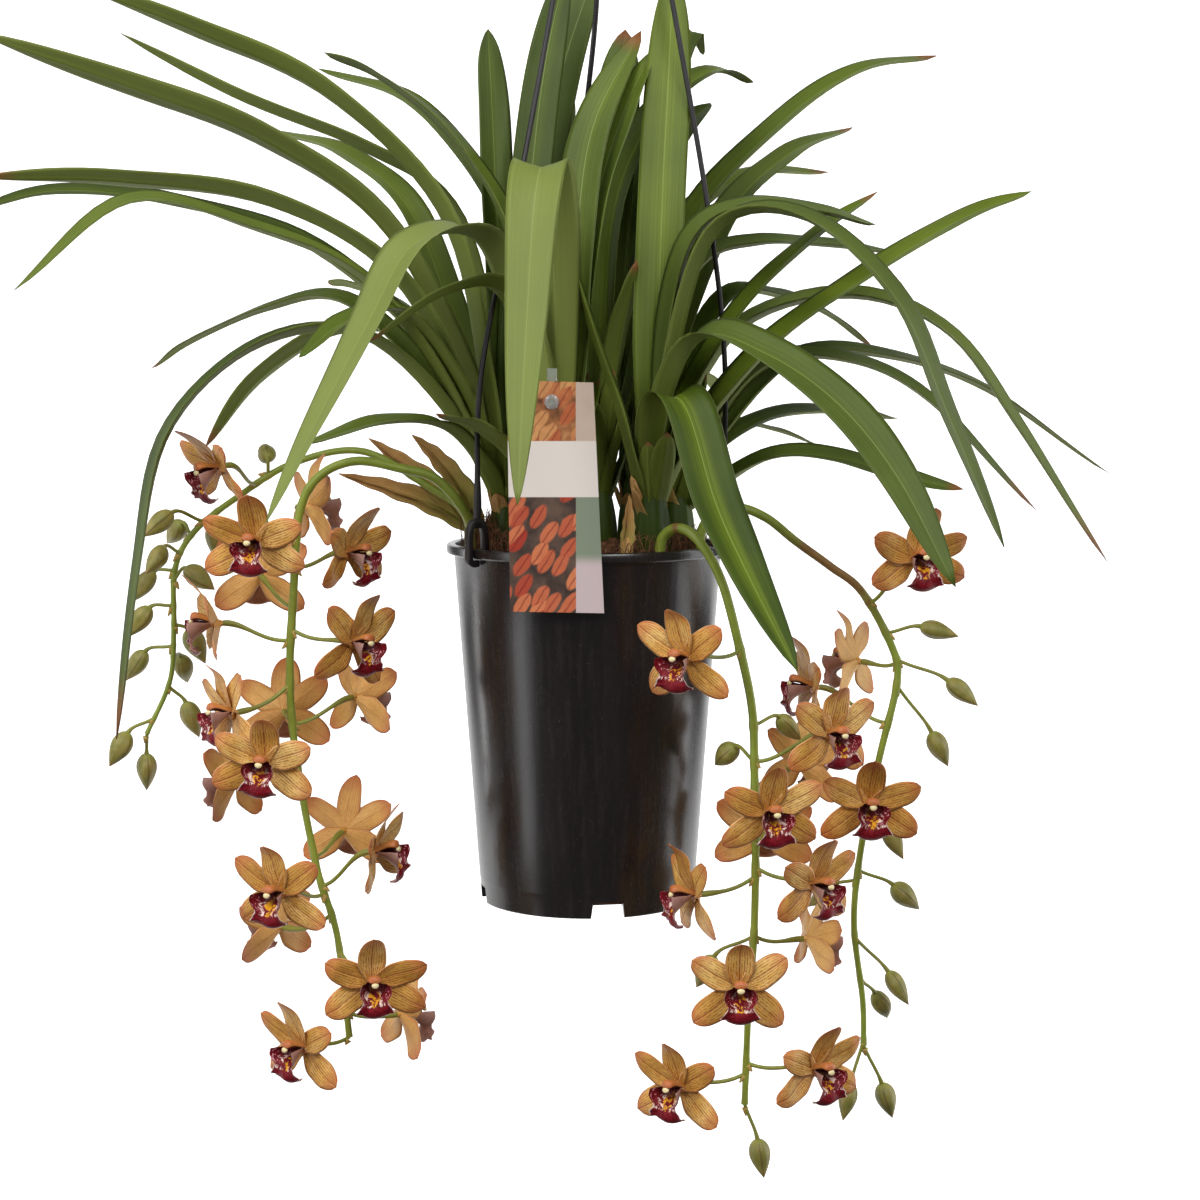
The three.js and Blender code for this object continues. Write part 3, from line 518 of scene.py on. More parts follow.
# %% Husk and bulb finishes
def husk_finish():
    f = Finish("husk_dry_paper")
    _, length = f.grain()
    tone = f.attribute("tone")
    fibres = f.strands(30, 2.2, tone * 23, 4, 0.65)
    shade = fibres * 0.6 + f.cloud(60, 3, 0.6) * 0.45 - 0.05
    colour = f.shades(shade, (0.25, 136, 88, 42), (0.5, 190, 144, 84), (0.75, 226, 194, 134))
    fresh = length.rises(0.8, 0.1) * (0.4 + tone * 0.5)
    f.feed(Base_Color=f.coats(colour, (fresh, 166, 164, 78)), Roughness=0.68 + fibres * 0.2)
    f.bump(fibres, 0.0007, 0.8)
    return f.material


husk_brown = husk_finish()
print("husk nodes:", len(husk_brown.node_tree.nodes))

# %% [markdown]
# ## Stems and buds
# Flower stems are smooth and yellow-green, with a brown flush towards the joints. Stalks and
# buds are more olive. Buds carry a few faint ribs, where the folded sepals meet.


# %% Stem and bud finishes
def stem_finish():
    f = Finish("stem_yellow_green")
    age = f.attribute("tone")
    mottle = f.cloud(110, 4, 0.6)
    speck = f.cloud(1400, 2, 0.5)
    fresh = f.coats(rgb(108, 126, 30), (mottle, 148, 162, 62))
    olive = f.coats(rgb(108, 110, 38), (mottle, 152, 142, 66))
    brown = f.coats(rgb(104, 68, 34), (mottle, 150, 108, 58))
    colour = f.blend(age.rises(0.82, 0.98) * 0.85, f.blend(age, fresh, olive), brown)
    colour = f.coats(colour, (speck.rises(0.62, 0.8) * 0.3, 96, 78, 36))
    f.feed(Base_Color=colour, Roughness=0.38 + mottle * 0.14)
    f.bump(speck, 0.00008, 0.4)
    return f.material


def bud_finish():
    f = Finish("bud_olive")
    across, length = f.grain()
    ribs = f.strands(26, 1.4, 3.0, 2, 0.6)
    seam = abs((across * 3).fraction() - 0.5).rises(0.42, 0.49)
    colour = f.coats(
        rgb(124, 122, 52),
        (f.cloud(130, 3, 0.55).rises(0.35, 0.7), 152, 140, 74),
        (ribs.rises(0.5, 0.75) * 0.5, 112, 78, 42),
        (seam * 0.6, 96, 70, 38),
        (length.rises(0.75, 1.0) * 0.5, 150, 108, 64),
        (length.rises(0.14, 0.0) * 0.6, 150, 158, 70),
    )
    f.feed(Base_Color=colour, Roughness=0.42 + ribs * 0.12)
    f.bump(ribs - seam * 0.8, 0.0003, 0.6)
    return f.material


stem_green = stem_finish()
bud_olive = bud_finish()
print("stem and bud finishes ready")

# %% [markdown]
# ## Petals
# The five tepals are waxy and tan to gold. Red-brown veins run along them, broken into dashes
# and dots, and the middle vein is the strongest. Each tepal blushes red towards its tip and has
# a pale hairline at its margin. The veins are stripes across the tepal's own map, which narrows
# towards both ends, so the stripes draw together there as real veins do. The back is plainer.


# %% Tepal finish
def tepal_finish():
    f = Finish("tepal_waxy_gold", Specular_IOR_Level=0.35)
    length, back, inside, middle = f.blade()
    tone = f.attribute("tone")
    wander = f.strands(3, 4, tone * 19, 2, 0.5)
    dashes = f.strands(22, 13, tone * 31, 2, 0.6)
    patches = f.strands(2, 2.5, tone * 47, 3, 0.6)
    fleck = f.strands(24, 38, tone * 13, 1, 0.5)
    stripe = abs((inside * 11 + wander * 0.55).fraction() - 0.5).rises(0.24, 0.08)
    shade = patches * 0.7 + tone * 0.34 - 0.02
    gold = f.shades(shade, (0.2, 186, 132, 50), (0.5, 222, 170, 82), (0.78, 244, 206, 128))
    reverse = f.coats(gold, (0.3 + patches * 0.4, 226, 172, 108))
    face = 1 - back * 0.62
    blush = length.rises(0.6, 1.0) * 0.72 + middle.rises(0.32, 0.5) * 0.5
    vein = stripe * dashes.rises(0.4, 0.56) * face * length.rises(0.02, 0.12)
    dots = fleck.rises(0.58, 0.66) * length.rises(0.7, 0.3) * face
    midline = middle.rises(0.03, 0.008) * (0.4 + dashes * 0.6) * face
    colour = f.coats(
        f.blend(back, gold, reverse),
        (blush * (0.5 + patches * 0.6), 194, 88, 58),
        (vein * 0.78, 142, 52, 26),
        (dots * 0.6, 142, 46, 30),
        (midline * 0.85, 136, 34, 34),
        (middle.rises(0.462, 0.488) * 0.75, 236, 202, 144),
    )
    f.feed(Base_Color=colour, Roughness=0.44 + patches * 0.12)
    f.bump(stripe * -0.5 + dashes * 0.25 - middle.rises(0.04, 0.0) * 0.8, 0.0003, 0.5)
    return f.material


tepal_gold = tepal_finish()
print("tepal nodes:", len(tepal_gold.node_tree.nodes))

# %% [markdown]
# ## Lip, column and cap
# The lip is what the eye goes to. Its front band is dark crimson with a thin white edge. Above
# it two yellow ridges run into the throat, among maroon blotches on white. The two raised side
# lobes are crimson with pale flecks inside and mauve outside. The column above is orange-red on
# top and almost black-red below, and ends in a cream cap.


# %% Lip finish
def lip_finish():
    f = Finish("lip_crimson", Specular_IOR_Level=0.25)
    length, back, _, middle = f.blade()
    tone = f.attribute("tone")
    blotch = f.strands(9, 9, tone * 17, 3, 0.65, 0.6)
    fleck = f.strands(26, 22, tone * 29, 1, 0.5)
    crimson = f.coats(rgb(90, 4, 14), (fleck.rises(0.3, 0.7), 140, 14, 32))
    spotted = f.coats(crimson, (fleck.rises(0.62, 0.67), 222, 168, 174))
    throat = f.coats(
        rgb(234, 162, 26),
        (blotch.rises(0.4, 0.7), 240, 200, 90),
        (middle.rises(0.1, 0.16), 236, 208, 196),
        (blotch.rises(0.45, 0.5), 112, 8, 26),
    )
    band = (length + blotch * 0.16 + middle * 0.08).rises(0.68, 0.71)
    lobe = middle.rises(0.2, 0.25) * length.rises(0.58, 0.53)
    rim = middle.rises(0.462, 0.482) * length.rises(0.5, 0.6)
    edge = rim.sum_of("MAXIMUM", rim, length.rises(0.965, 0.985))
    colour = f.coats(
        f.blend(lobe, f.blend(band, throat, crimson), spotted),
        (length.rises(0.4, 0.22) * 0.85, 62, 6, 14),
        (edge * 0.85, 240, 214, 208),
    )
    outside = f.coats(rgb(138, 96, 92), (blotch, 176, 138, 124))
    f.feed(Base_Color=f.blend(back, colour, outside), Roughness=0.46 + fleck * 0.14)
    f.bump(blotch * 0.5 + fleck * 0.5, 0.0004, 0.6)
    return f.material


def column_finish():
    f = Finish("column_red_brown")
    _, length = f.grain()
    below = f.attribute("tone")
    streak = f.strands(18, 3, 5.0, 3, 0.6)
    colour = f.coats(
        rgb(164, 78, 40), (streak, 206, 126, 66), (length.rises(0.85, 0.3) * 0.45, 206, 156, 86),
        (below, 66, 10, 22),
    )
    f.feed(Base_Color=colour, Roughness=0.4 + streak * 0.1)
    f.bump(streak, 0.0002, 0.4)
    return f.material


def cap_finish():
    f = Finish("cap_cream")
    grainy = f.cloud(900, 2, 0.5)
    colour = f.coats(rgb(226, 204, 142), (grainy, 244, 232, 186))
    f.feed(Base_Color=colour, Roughness=0.35 + grainy * 0.15)
    f.bump(grainy, 0.0001, 0.4)
    return f.material


lip_crimson = lip_finish()
column_red = column_finish()
cap_cream = cap_finish()
print("lip nodes:", len(lip_crimson.node_tree.nodes))

# %% [markdown]
# ## Skins
# Every leaf, petal and bud is a skin over rings of points: a closed mesh with a front, a back and
# a rim. A builder collects such skins, keeps a map and a tone for each, turns any that came out
# inside out, and makes one mesh of them all. A blade has an upper and a lower sheet that meet at
# its edges, and the map says where on the blade a point is and on which side.


# %% A builder for skins
def quad(row, k, count):
    """The corners of one face between a ring of points and the next ring."""
    n = (k + 1) % count
    low, high = row * count, (row + 1) * count
    return low + k, low + n, high + n, high + k


def patch(left, right, low, high):
    """The same four corners on a map."""
    return (left, low), (right, low), (right, high), (left, high)


class Skins:
    """Collects closed skins in millimetres and makes one piece of them."""

    def __init__(self):
        self.points, self.faces, self.maps, self.finishes = [], [], [], []
        self.values = {"tone": [], "glow": [], "dry": [], "pale": []}

    def add(self, points, faces, maps, finish=0, **values):
        points = np.asarray(points, float)
        triangles = [(f[0], f[i], f[i + 1]) for f in faces for i in range(1, len(f) - 1)]
        a, b, c = points[np.array(triangles).T]
        if np.sum(a * np.cross(b, c)) < 0:
            faces = [f[::-1] for f in faces]
            maps = [m[::-1] for m in maps]
        start = sum(len(p) for p in self.points)
        self.points.append(points)
        self.faces += [tuple(start + i for i in f) for f in faces]
        self.maps += maps
        self.finishes += [finish] * len(faces)
        for key, kept in self.values.items():
            kept.append(np.broadcast_to(np.asarray(values.get(key, 0.0), float), len(points)))

    def sheet(self, upper, lower, lengths, finish=0, **values):
        """A blade: rows by columns of points on its two sides, which share their edge columns."""
        rows, columns = upper.shape[:2]
        rings = np.concatenate([upper, lower[:, -2:0:-1]], axis=1)
        count = rings.shape[1]
        face = np.linspace(0.0005, 0.9985, columns)
        back = 1.0005 + face[::-1]
        strips = [*zip(face, face[1:]), *zip(back, back[1:])]
        grid = [(i, k) for i in range(rows - 1) for k in range(count)]
        faces = [quad(i, k, count) for i, k in grid]
        maps = [patch(*strips[k], lengths[i], lengths[i + 1]) for i, k in grid]
        for i, turn in ((0, -1), (rows - 1, 1)):
            base = i * count
            under = [base, *(base + count - j for j in range(1, columns - 1)), base + columns - 1]
            for k in range(columns - 1):
                corners = dict.fromkeys((base + k, base + k + 1, under[k + 1], under[k]))
                faces.append(tuple(corners)[::turn])
                maps.append(((face[k], lengths[i]),) * len(corners))
        values = {key: self.spread(value, rows, count) for key, value in values.items()}
        self.add(rings.reshape(-1, 3), faces, maps, finish, **values)

    @staticmethod
    def spread(value, rows, count):
        value = np.asarray(value, float)
        return np.repeat(value, count) if value.shape == (rows,) else np.full(rows * count, value)

    def tube(self, rings, finish=0, **values):
        """A round body over rings of points, closed by a point at each end."""
        rings = np.asarray(rings, float)
        rows, count = rings.shape[:2]
        ends = [rings[0].mean(axis=0), rings[-1].mean(axis=0)]
        points = np.vstack([rings.reshape(-1, 3), ends])
        grid = [(i, k) for i in range(rows - 1) for k in range(count)]
        faces = [quad(i, k, count) for i, k in grid]
        high = rows - 1
        maps = [patch(k / count, (k + 1) / count, i / high, (i + 1) / high) for i, k in grid]
        for k in range(count):
            n = (k + 1) % count
            faces += [(n, k, rows * count), (high * count + k, high * count + n, rows * count + 1)]
            maps += [((0.5, 0.0),) * 3, ((0.5, 1.0),) * 3]
        tone = np.asarray(values.get("tone", 0.0), float)
        if tone.ndim:
            values["tone"] = np.append(tone.ravel(), [tone[0].mean(), tone[-1].mean()])
        self.add(points, faces, maps, finish, **values)

    def make(self, name, materials):
        mesh = mesh_of(name, np.vstack(self.points), faces=self.faces)
        layer = mesh.uv_layers.new(name="grain")
        layer.data.foreach_set("uv", np.array([p for m in self.maps for p in m], np.float32).ravel())
        mesh.polygons.foreach_set("material_index", self.finishes)
        for key, kept in self.values.items():
            values = np.concatenate(kept).astype(np.float32)
            if values.any():
                mesh.attributes.new(key, "FLOAT", "POINT").data.foreach_set("value", values)
        for material in materials:
            mesh.materials.append(material)
        mesh.shade_smooth()
        mesh.validate()
        return placed(name, mesh)


def settle(piece, slot, *nodes):
    """Attaches a finished piece to the root body, hides the solids that it replaces and adds it to the list
    of made pieces.
    """
    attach(piece, "root")
    if nodes:
        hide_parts(*nodes)
    made.append(piece)
    return piece


made = []
print("builder ready")

# %% [markdown]
# ## Tubes that follow a path, with Geometry Nodes
# Stems, stalks, roots and the hanger's strands are all the same rule: a round section carried
# along a path, with a radius that changes on the way. So one node tree makes them all. It is
# given bare lines, whose points carry their own radius, and lays a closed tube on each.


# %% The tube tree
def new_tree(name, **inputs):
    """Starts a node tree with named inputs. Gives a way to add nodes, and the input sockets."""
    tree = bpy.data.node_groups.new(name, "GeometryNodeTree")
    face = tree.interface
    face.new_socket("Geometry", in_out="INPUT", socket_type="NodeSocketGeometry")
    for key, value in inputs.items():
        kind = "NodeSocketInt" if isinstance(value, int) else "NodeSocketFloat"
        face.new_socket(key.replace("_", " "), in_out="INPUT", socket_type=kind).default_value = value
    face.new_socket("Finish", in_out="INPUT", socket_type="NodeSocketMaterial")
    face.new_socket("Geometry", in_out="OUTPUT", socket_type="NodeSocketGeometry")
    given = tree.nodes.new("NodeGroupInput")
    return partial(add_node, tree), *(Socket(tree, given.outputs[i]) for i in range(len(inputs) + 2))


def end_tree(geometry, finish):
    """Sets the material and hands the geometry out of its tree."""
    tree = geometry.tree
    coated = add_node(tree, "GeometryNodeSetMaterial", {"Geometry": geometry, "Material": finish})
    tree.links.new(coated.output, tree.nodes.new("NodeGroupOutput").inputs[0])
    return tree


def tube_tree():
    call, lines, sides, thickness, finish = new_tree("tube_along_lines", Sides=12, Thickness=1.0)
    radius = call("GeometryNodeInputNamedAttribute", {"Name": "radius"}, data_type="FLOAT")
    curve = call("GeometryNodeMeshToCurve", {"Mesh": lines})
    section = call("GeometryNodeCurvePrimitiveCircle", {"Resolution": sides, "Radius": 1.0})
    tube = call("GeometryNodeCurveToMesh", {
        "Curve": curve, "Profile Curve": section, "Scale": radius * thickness, "Fill Caps": True,
    })
    smooth = call("GeometryNodeSetShadeSmooth", {"Geometry": tube})
    whole = call("GeometryNodeRealizeInstances", {"Geometry": smooth})
    return end_tree(whole, finish)


def plain_mesh(piece):
    """The mesh that a piece and its modifiers make."""
    graph = bpy.context.evaluated_depsgraph_get()
    return bpy.data.meshes.new_from_object(piece.evaluated_get(graph))


def grown(name, source, tree, **inputs):
    """Runs a node tree on a mesh object and returns its result as a plain mesh object."""
    modifier = source.modifiers.new("grow", "NODES")
    modifier.node_group = tree
    for item in tree.interface.items_tree:
        if item.in_out == "INPUT" and item.name in inputs:
            modifier[item.identifier] = inputs[item.name]
    mesh = plain_mesh(source)
    bpy.data.objects.remove(source)
    mesh.name = name
    return placed(name, mesh)


tube_rule = tube_tree()


def tubes(name, lines, material, sides=12):
    """Closed tubes on lines, each given as (points in mm, radii in mm, tones)."""
    edges, start = [], 0
    for path, _, _ in lines:
        edges += [(i, i + 1) for i in range(start, start + len(path) - 1)]
        start += len(path)
    mesh = mesh_of(name + "_lines", np.vstack([path for path, _, _ in lines]), edges)
    for key, column, factor in (("radius", 1, 0.001), ("tone", 2, 1.0)):
        values = np.concatenate([np.broadcast_to(line[column], len(line[0])) for line in lines])
        store = mesh.attributes.new(key, "FLOAT", "POINT")
        store.data.foreach_set("value", (values * factor).astype(np.float32))
    return grown(name, placed(name + "_lines", mesh), tube_rule, Sides=sides, Finish=material)


print("tube tree:", len(tube_rule.nodes), "nodes")

# %% [markdown]
# ## The pot
# A nursery pot is one turned shape, so it is drawn as half a section and spun: a rolled lip, a
# thin wall that narrows by 17 mm, and a foot ring that lifts the floor off the ground. The four
# notches in the ring let water out. They are cut with a Boolean, as the mould's inserts do.

# %% Half section of the pot
POT_HEIGHT = 230.0
POT_TOP, POT_BASE, POT_WALL = 85.75, 68.5, 1.5
LIP_RADIUS, LIP_HEIGHT = 90.0, 6.0
FOOT_HEIGHT, FOOT_WIDTH = 7.0, 3.0
NOTCH_WIDTH, NOTCH_HEIGHT, NOTCH_AZIMUTH, NOTCH_TAPER = 22.0, 10.0, 281.0, 0.14
POT_SIDES, POT_CREASE = 192, 38
GROUND = -POT_HEIGHT
FOOT_INNER = POT_BASE - FOOT_WIDTH
FLOOR_TOP = GROUND + FOOT_HEIGHT + POT_WALL
FLOOR_UNDER = FLOOR_TOP - POT_WALL


def inner_radius(z):
    return mix(POT_BASE, POT_TOP, (z + POT_HEIGHT) / POT_HEIGHT) - POT_WALL


pot_section = [
    (0.0, FLOOR_UNDER), (FOOT_INNER - 1, FLOOR_UNDER), (FOOT_INNER, FLOOR_UNDER - 1),
    (FOOT_INNER, GROUND + 0.4), (FOOT_INNER + 0.4, GROUND), (POT_BASE - 0.6, GROUND),
    (POT_BASE, GROUND + 0.6), (POT_BASE + 0.9, GROUND + 13), (POT_BASE + 1.1, GROUND + 14),
    (POT_BASE + 1.25, GROUND + 15), (POT_BASE + 4.5, -170.0), (POT_BASE + 8.75, -114.0),
    (POT_BASE + 13.0, -57.0), (POT_TOP - 0.6, -LIP_HEIGHT - 1.4), (POT_TOP, -LIP_HEIGHT - 0.4),
    (POT_TOP + 0.6, -LIP_HEIGHT), (LIP_RADIUS - 0.9, -LIP_HEIGHT),
    (LIP_RADIUS - 0.2, -LIP_HEIGHT + 0.6), (LIP_RADIUS, -LIP_HEIGHT + 1.6),
    (LIP_RADIUS, -1.6), (LIP_RADIUS - 0.4, -0.5), (LIP_RADIUS - 1.4, 0.0),
    (inner_radius(0) + 1.2, 0.0), (inner_radius(0) + 0.3, -0.4), (inner_radius(0), -1.4),
    (inner_radius(-100), -100.0), (inner_radius(FLOOR_TOP), FLOOR_TOP + 1.0),
    (inner_radius(FLOOR_TOP) - 1.2, FLOOR_TOP), (0.0, FLOOR_TOP),
]


def spun(name, section, sides, material, centre=(0.0, 0.0)):
    """A closed body turned about an upright axis, from points of radius and height."""
    points, rows = [], []
    for radius, z in section:
        start = len(points)
        if radius < 1e-6:
            rows.append([start] * sides)
            points.append((*centre, z))
        else:
            rows.append(range(start, start + sides))
            points += hoop(centre, radius, z, ring(sides)).tolist()
    faces = []
    for low, high in zip(rows, rows[1:]):
        for k in range(sides):
            n = (k + 1) % sides
            corners = tuple(dict.fromkeys((low[k], low[n], high[n], high[k])))
            if len(corners) > 2:
                faces.append(corners)
    skins = Skins()
    skins.add(points, faces, [((0.5, 0.5),) * len(f) for f in faces])
    return skins.make(name, [material])


pot = spun("pot_shell", pot_section, POT_SIDES, pot_gloss)
print("pot faces before the notches:", len(pot.data.polygons))


# %% Notches in the foot ring
def block(name, low, high, azimuth, taper):
    """A box from low to high, pinched by taper at its top, turned about the pot's axis."""
    corners = [
        (x, y * (1 - taper * (z == high[2])), z)
        for x in (low[0], high[0]) for y in (low[1], high[1]) for z in (low[2], high[2])
    ]
    points = turned(np.array(corners), UP[None], np.full(8, math.radians(azimuth)))
    faces = [(0, 1, 3, 2), (4, 6, 7, 5), (0, 4, 5, 1), (2, 3, 7, 6), (0, 2, 6, 4), (1, 5, 7, 3)]
    skins = Skins()
    skins.add(points, faces, [((0.5, 0.5),) * 4 for _ in faces])
    return skins.make(name, [])


def carved(piece, cutters):
    """The piece with the cutters taken out of it, as a plain mesh."""
    for cutter in cutters:
        modifier = piece.modifiers.new("cut", "BOOLEAN")
        modifier.operation = "DIFFERENCE"
        modifier.solver = "EXACT"
        modifier.object = cutter
    mesh = plain_mesh(piece)
    piece.modifiers.clear()
    piece.data = mesh
    for cutter in cutters:
        bpy.data.objects.remove(cutter)
    return piece


notch_low = (POT_BASE - 8, -NOTCH_WIDTH / 2, GROUND - 3)
notch_high = (POT_BASE + 8, NOTCH_WIDTH / 2, GROUND + NOTCH_HEIGHT)
quarters = (0, 90, 180, 270)
pot = carved(pot, [
    block(f"notch_{turn}", notch_low, notch_high, NOTCH_AZIMUTH + turn, NOTCH_TAPER) for turn in quarters
])
pot.data.set_sharp_from_angle(angle=math.radians(POT_CREASE))
settle(pot, "pot_plastic", "pot")
print("pot faces:", len(pot.data.polygons))

# %% [markdown]
# ## Growing medium
# Orchids grow in coarse bark and coconut fibre. The bed is a low mound with a rough top. On it a
# second node tree strews chips: it scatters points over the mound with a fixed seed, puts a small
# block on each, turns and scales it at random, and then roughens all blocks with noise.

# %% The bed
BED_SIDES, BED_RINGS, BED_SEED = 96, 30, 4
random_bed = np.random.default_rng(BED_SEED)


def bed_height(x, y):
    """A mound that meets the wall below the rim, with lumps from a few crossed waves."""
    reach = np.hypot(x, y) / inner_radius(-SOIL_DEPTH)
    lumps = np.sin(x * 0.31 + 1.2) * np.cos(y * 0.27) + 0.6 * np.sin(x * 0.12 - y * 0.4)
    return -SOIL_DEPTH + 9 * (1 - reach**2) + 1.3 * lumps * (1 - reach**6)


def bed_piece():
    bottom = FLOOR_TOP + 0.3
    edge = inner_radius(-SOIL_DEPTH) - 0.35
    section = [(0.0, bottom), (inner_radius(bottom) - 0.4, bottom)]
    section += [(edge * (1 - k / BED_RINGS), -SOIL_DEPTH) for k in range(BED_RINGS + 1)]
    body = spun("medium_bed", section, BED_SIDES, bark)
    co = np.empty(len(body.data.vertices) * 3, np.float32)
    body.data.vertices.foreach_get("co", co)
    co = co.reshape(-1, 3)
    place = co * 1000 + HOOK_ORIGIN
    top = place[:, 2] > -SOIL_DEPTH - 0.01
    co[top, 2] = (bed_height(place[top, 0], place[top, 1]) - HOOK_ORIGIN[2]) / 1000
    body.data.vertices.foreach_set("co", co.ravel())
    body.data.update()
    return body


bed = bed_piece()
settle(bed, "growing_medium", "growing_medium")
print("bed faces:", len(bed.data.polygons))


# %% The chip tree
def chip_tree():
    call, ground, density, length, finish = new_tree("strewn_chips", Density=40000.0, Chip_Length=0.009)
    spots = call(
        "GeometryNodeDistributePointsOnFaces", {"Mesh": ground, "Density": density, "Seed": 11},
        distribute_method="RANDOM",
    )
    size = call("ShaderNodeCombineXYZ", {0: length, 1: length * 0.55, 2: length * 0.3})
    chip = call("GeometryNodeMeshCube", {"Size": size, "Vertices X": 4, "Vertices Y": 3, "Vertices Z": 2})
    spins = {0: (-0.7, -0.7, 0.0), 1: (0.7, 0.7, 6.28), "Seed": 5}
    sizes = {0: (0.5, 0.5, 0.6), 1: (1.5, 1.4, 1.5), "Seed": 8}
    spin = call("FunctionNodeRandomValue", spins, data_type="FLOAT_VECTOR")
    grow = call("FunctionNodeRandomValue", sizes, data_type="FLOAT_VECTOR")
    turn = call("FunctionNodeEulerToRotation", {0: spin})
    laid = call(
        "GeometryNodeInstanceOnPoints", {"Points": spots, "Instance": chip, "Rotation": turn, "Scale": grow},
    )
    whole = call("GeometryNodeRealizeInstances", {"Geometry": laid})
    rough = call("ShaderNodeTexNoise", {"Scale": 260.0, "Detail": 2.0}, "Color", noise_dimensions="3D")
    push = call("ShaderNodeVectorMath", {0: rough, 1: (0.5, 0.5, 0.5)}, operation="SUBTRACT")
    push = call("ShaderNodeVectorMath", {0: push, "Scale": 0.0075}, operation="SCALE")
    return end_tree(call("GeometryNodeSetPosition", {"Geometry": whole, "Offset": push}), finish)


def ground_copy():
    """Just the top of the bed, pulled in from the wall, for the chips to lie on."""
    rings, count = 24, 48
    edge = inner_radius(-SOIL_DEPTH) - 6
    turns = ring(count)
    points = [(0.0, 0.0)]
    for share in np.linspace(0, 1, rings + 1)[1:]:
        points += list(zip(edge * share * np.cos(turns), edge * share * np.sin(turns)))
    faces = [(0, 1 + k, 1 + (k + 1) % count) for k in range(count)]
    for base in range(1, 1 + (rings - 1) * count, count):
        for k in range(count):
            n = (k + 1) % count
            faces.append((base + k, base + count + k, base + count + n, base + n))
    flat = np.array(points)
    heights = bed_height(flat[:, 0], flat[:, 1])
    return placed("ground", mesh_of("ground", np.c_[flat, heights], faces=faces))


CHIP_DENSITY = 44000.0
chips = grown("medium_chips", ground_copy(), chip_tree(), Density=CHIP_DENSITY, Finish=bark)
settle(chips, "growing_medium")
print("chip faces:", len(chips.data.polygons))


# %% Loose fibres and a few roots
FIBRE_LIMIT, TUFT_LIMIT = 78, 81
FIBRE_COUNT, ROOT_COUNT = 90, 7


def way_to(turn):
    """A direction on the ground, from an angle in radians."""
    return np.array([math.cos(turn), math.sin(turn)])


def loose_line(low, high, thick, steps=9):
    """A fibre that lies over the bark in a loose bend."""
    reach = 70 * math.sqrt(random_bed.random())
    here = reach * way_to(random_bed.random() * 2 * math.pi)
    way = random_bed.random() * 2 * math.pi
    length = random_bed.uniform(low, high)
    points = []
    for _ in range(steps):
        height = bed_height(*here) + random_bed.uniform(1.5, 5.0)
        points.append((*here, height))
        way += random_bed.normal(0, 0.45)
        here = here + way_to(way) * length / steps
        here *= min(1.0, FIBRE_LIMIT / max(np.hypot(*here), 1e-6))
    path = along(points, np.linspace(0, 1, steps * 3))
    return path, thick * np.sin(np.linspace(0.35, 2.8, len(path))), random_bed.random()


def tuft_line(azimuth, lift):
    """A fibre that springs up near the wall and bends over."""
    reach = random_bed.uniform(56, 78)
    turn = math.radians(azimuth + random_bed.normal(0, 13))
    foot = reach * way_to(turn)
    side = way_to(random_bed.uniform(0, 2 * math.pi)) * random_bed.uniform(5, 17)
    top = lift * random_bed.uniform(0.4, 1.0)
    rises = ((0, -3.0), (0.25, top * 0.7), (0.7, top), (1, top * random_bed.uniform(0.2, 0.9)))
    points = [(*(foot + side * share), rise - SOIL_DEPTH) for share, rise in rises]
    path = along(points, np.linspace(0, 1, 16))
    reach = np.hypot(path[:, 0], path[:, 1])
    path[:, :2] *= np.minimum(1, TUFT_LIMIT / reach)[:, None]
    return path, random_bed.uniform(0.2, 0.5) * np.linspace(1, 0.35, 16), random_bed.random()


fibre_lines = [loose_line(18, 52, random_bed.uniform(0.25, 0.6)) for _ in range(FIBRE_COUNT)]
tufts = ((190, 34, 150), (214, 30, 110), (240, 24, 70), (300, 22, 70), (335, 25, 70), (20, 22, 40))
for azimuth, lift, count in tufts:
    fibre_lines += [tuft_line(azimuth, lift) for _ in range(count)]
root_lines = [loose_line(40, 80, random_bed.uniform(1.5, 2.1)) for _ in range(ROOT_COUNT)]
fibres = tubes("medium_fibres", fibre_lines + root_lines, bark, sides=6)
settle(fibres, "growing_medium")
print("fibre faces:", len(fibres.data.polygons))

# %% [markdown]
# ## Hanger
# Three black strands clip over the rim and meet in a small hub, from which a hook rises. The pot
# hangs straight, so the strands are taut and never swing: they are rods, not cords. Each clip is
# a flat bar bent into an upside-down U that grips the rolled lip. It is swept along its own bend
# with rounded edges, which is how a moulded clip looks.

# %% Sizes of the hanger
HUB_X, HUB_Z, HUB_TOP, HUB_RADIUS = 14.0, 573.0, 587.0, 9.0
STRAND_RADIUS, STRAND_SOCKET = 1.7, 5.0
HOOK_WIRE, HOOK_INNER, HOOK_CENTRE_Z = 2.5, 12.0, 625.0
CLIP_AZIMUTHS = {"left": 218, "back": 104, "right": 356}
CLIP_WIDTH, CLIP_BAR = 5.0, 4.6
STRAND_POINTS, HOOK_POINTS = 120, 140
strand_routes = {
  "left": [[-68, -53, 17], [-65, -49, 110], [-40, -30, 235], [-20, -15, 345], [3, -6, 470]],
  "back": [[-21, 83, 17], [-17, 74, 120], [-4, 44, 250], [6, 24, 345], [10, 12, 470]],
  "right": [[86, -6, 17], [87, -6, 115], [77, -6, 205], [55, -4, 330], [30, -2, 460]],
}


def swelled(wave, power):
    """A sine or cosine bent outwards, which turns a round section into a rounded rectangle."""
    return np.sign(wave) * np.abs(wave) ** power


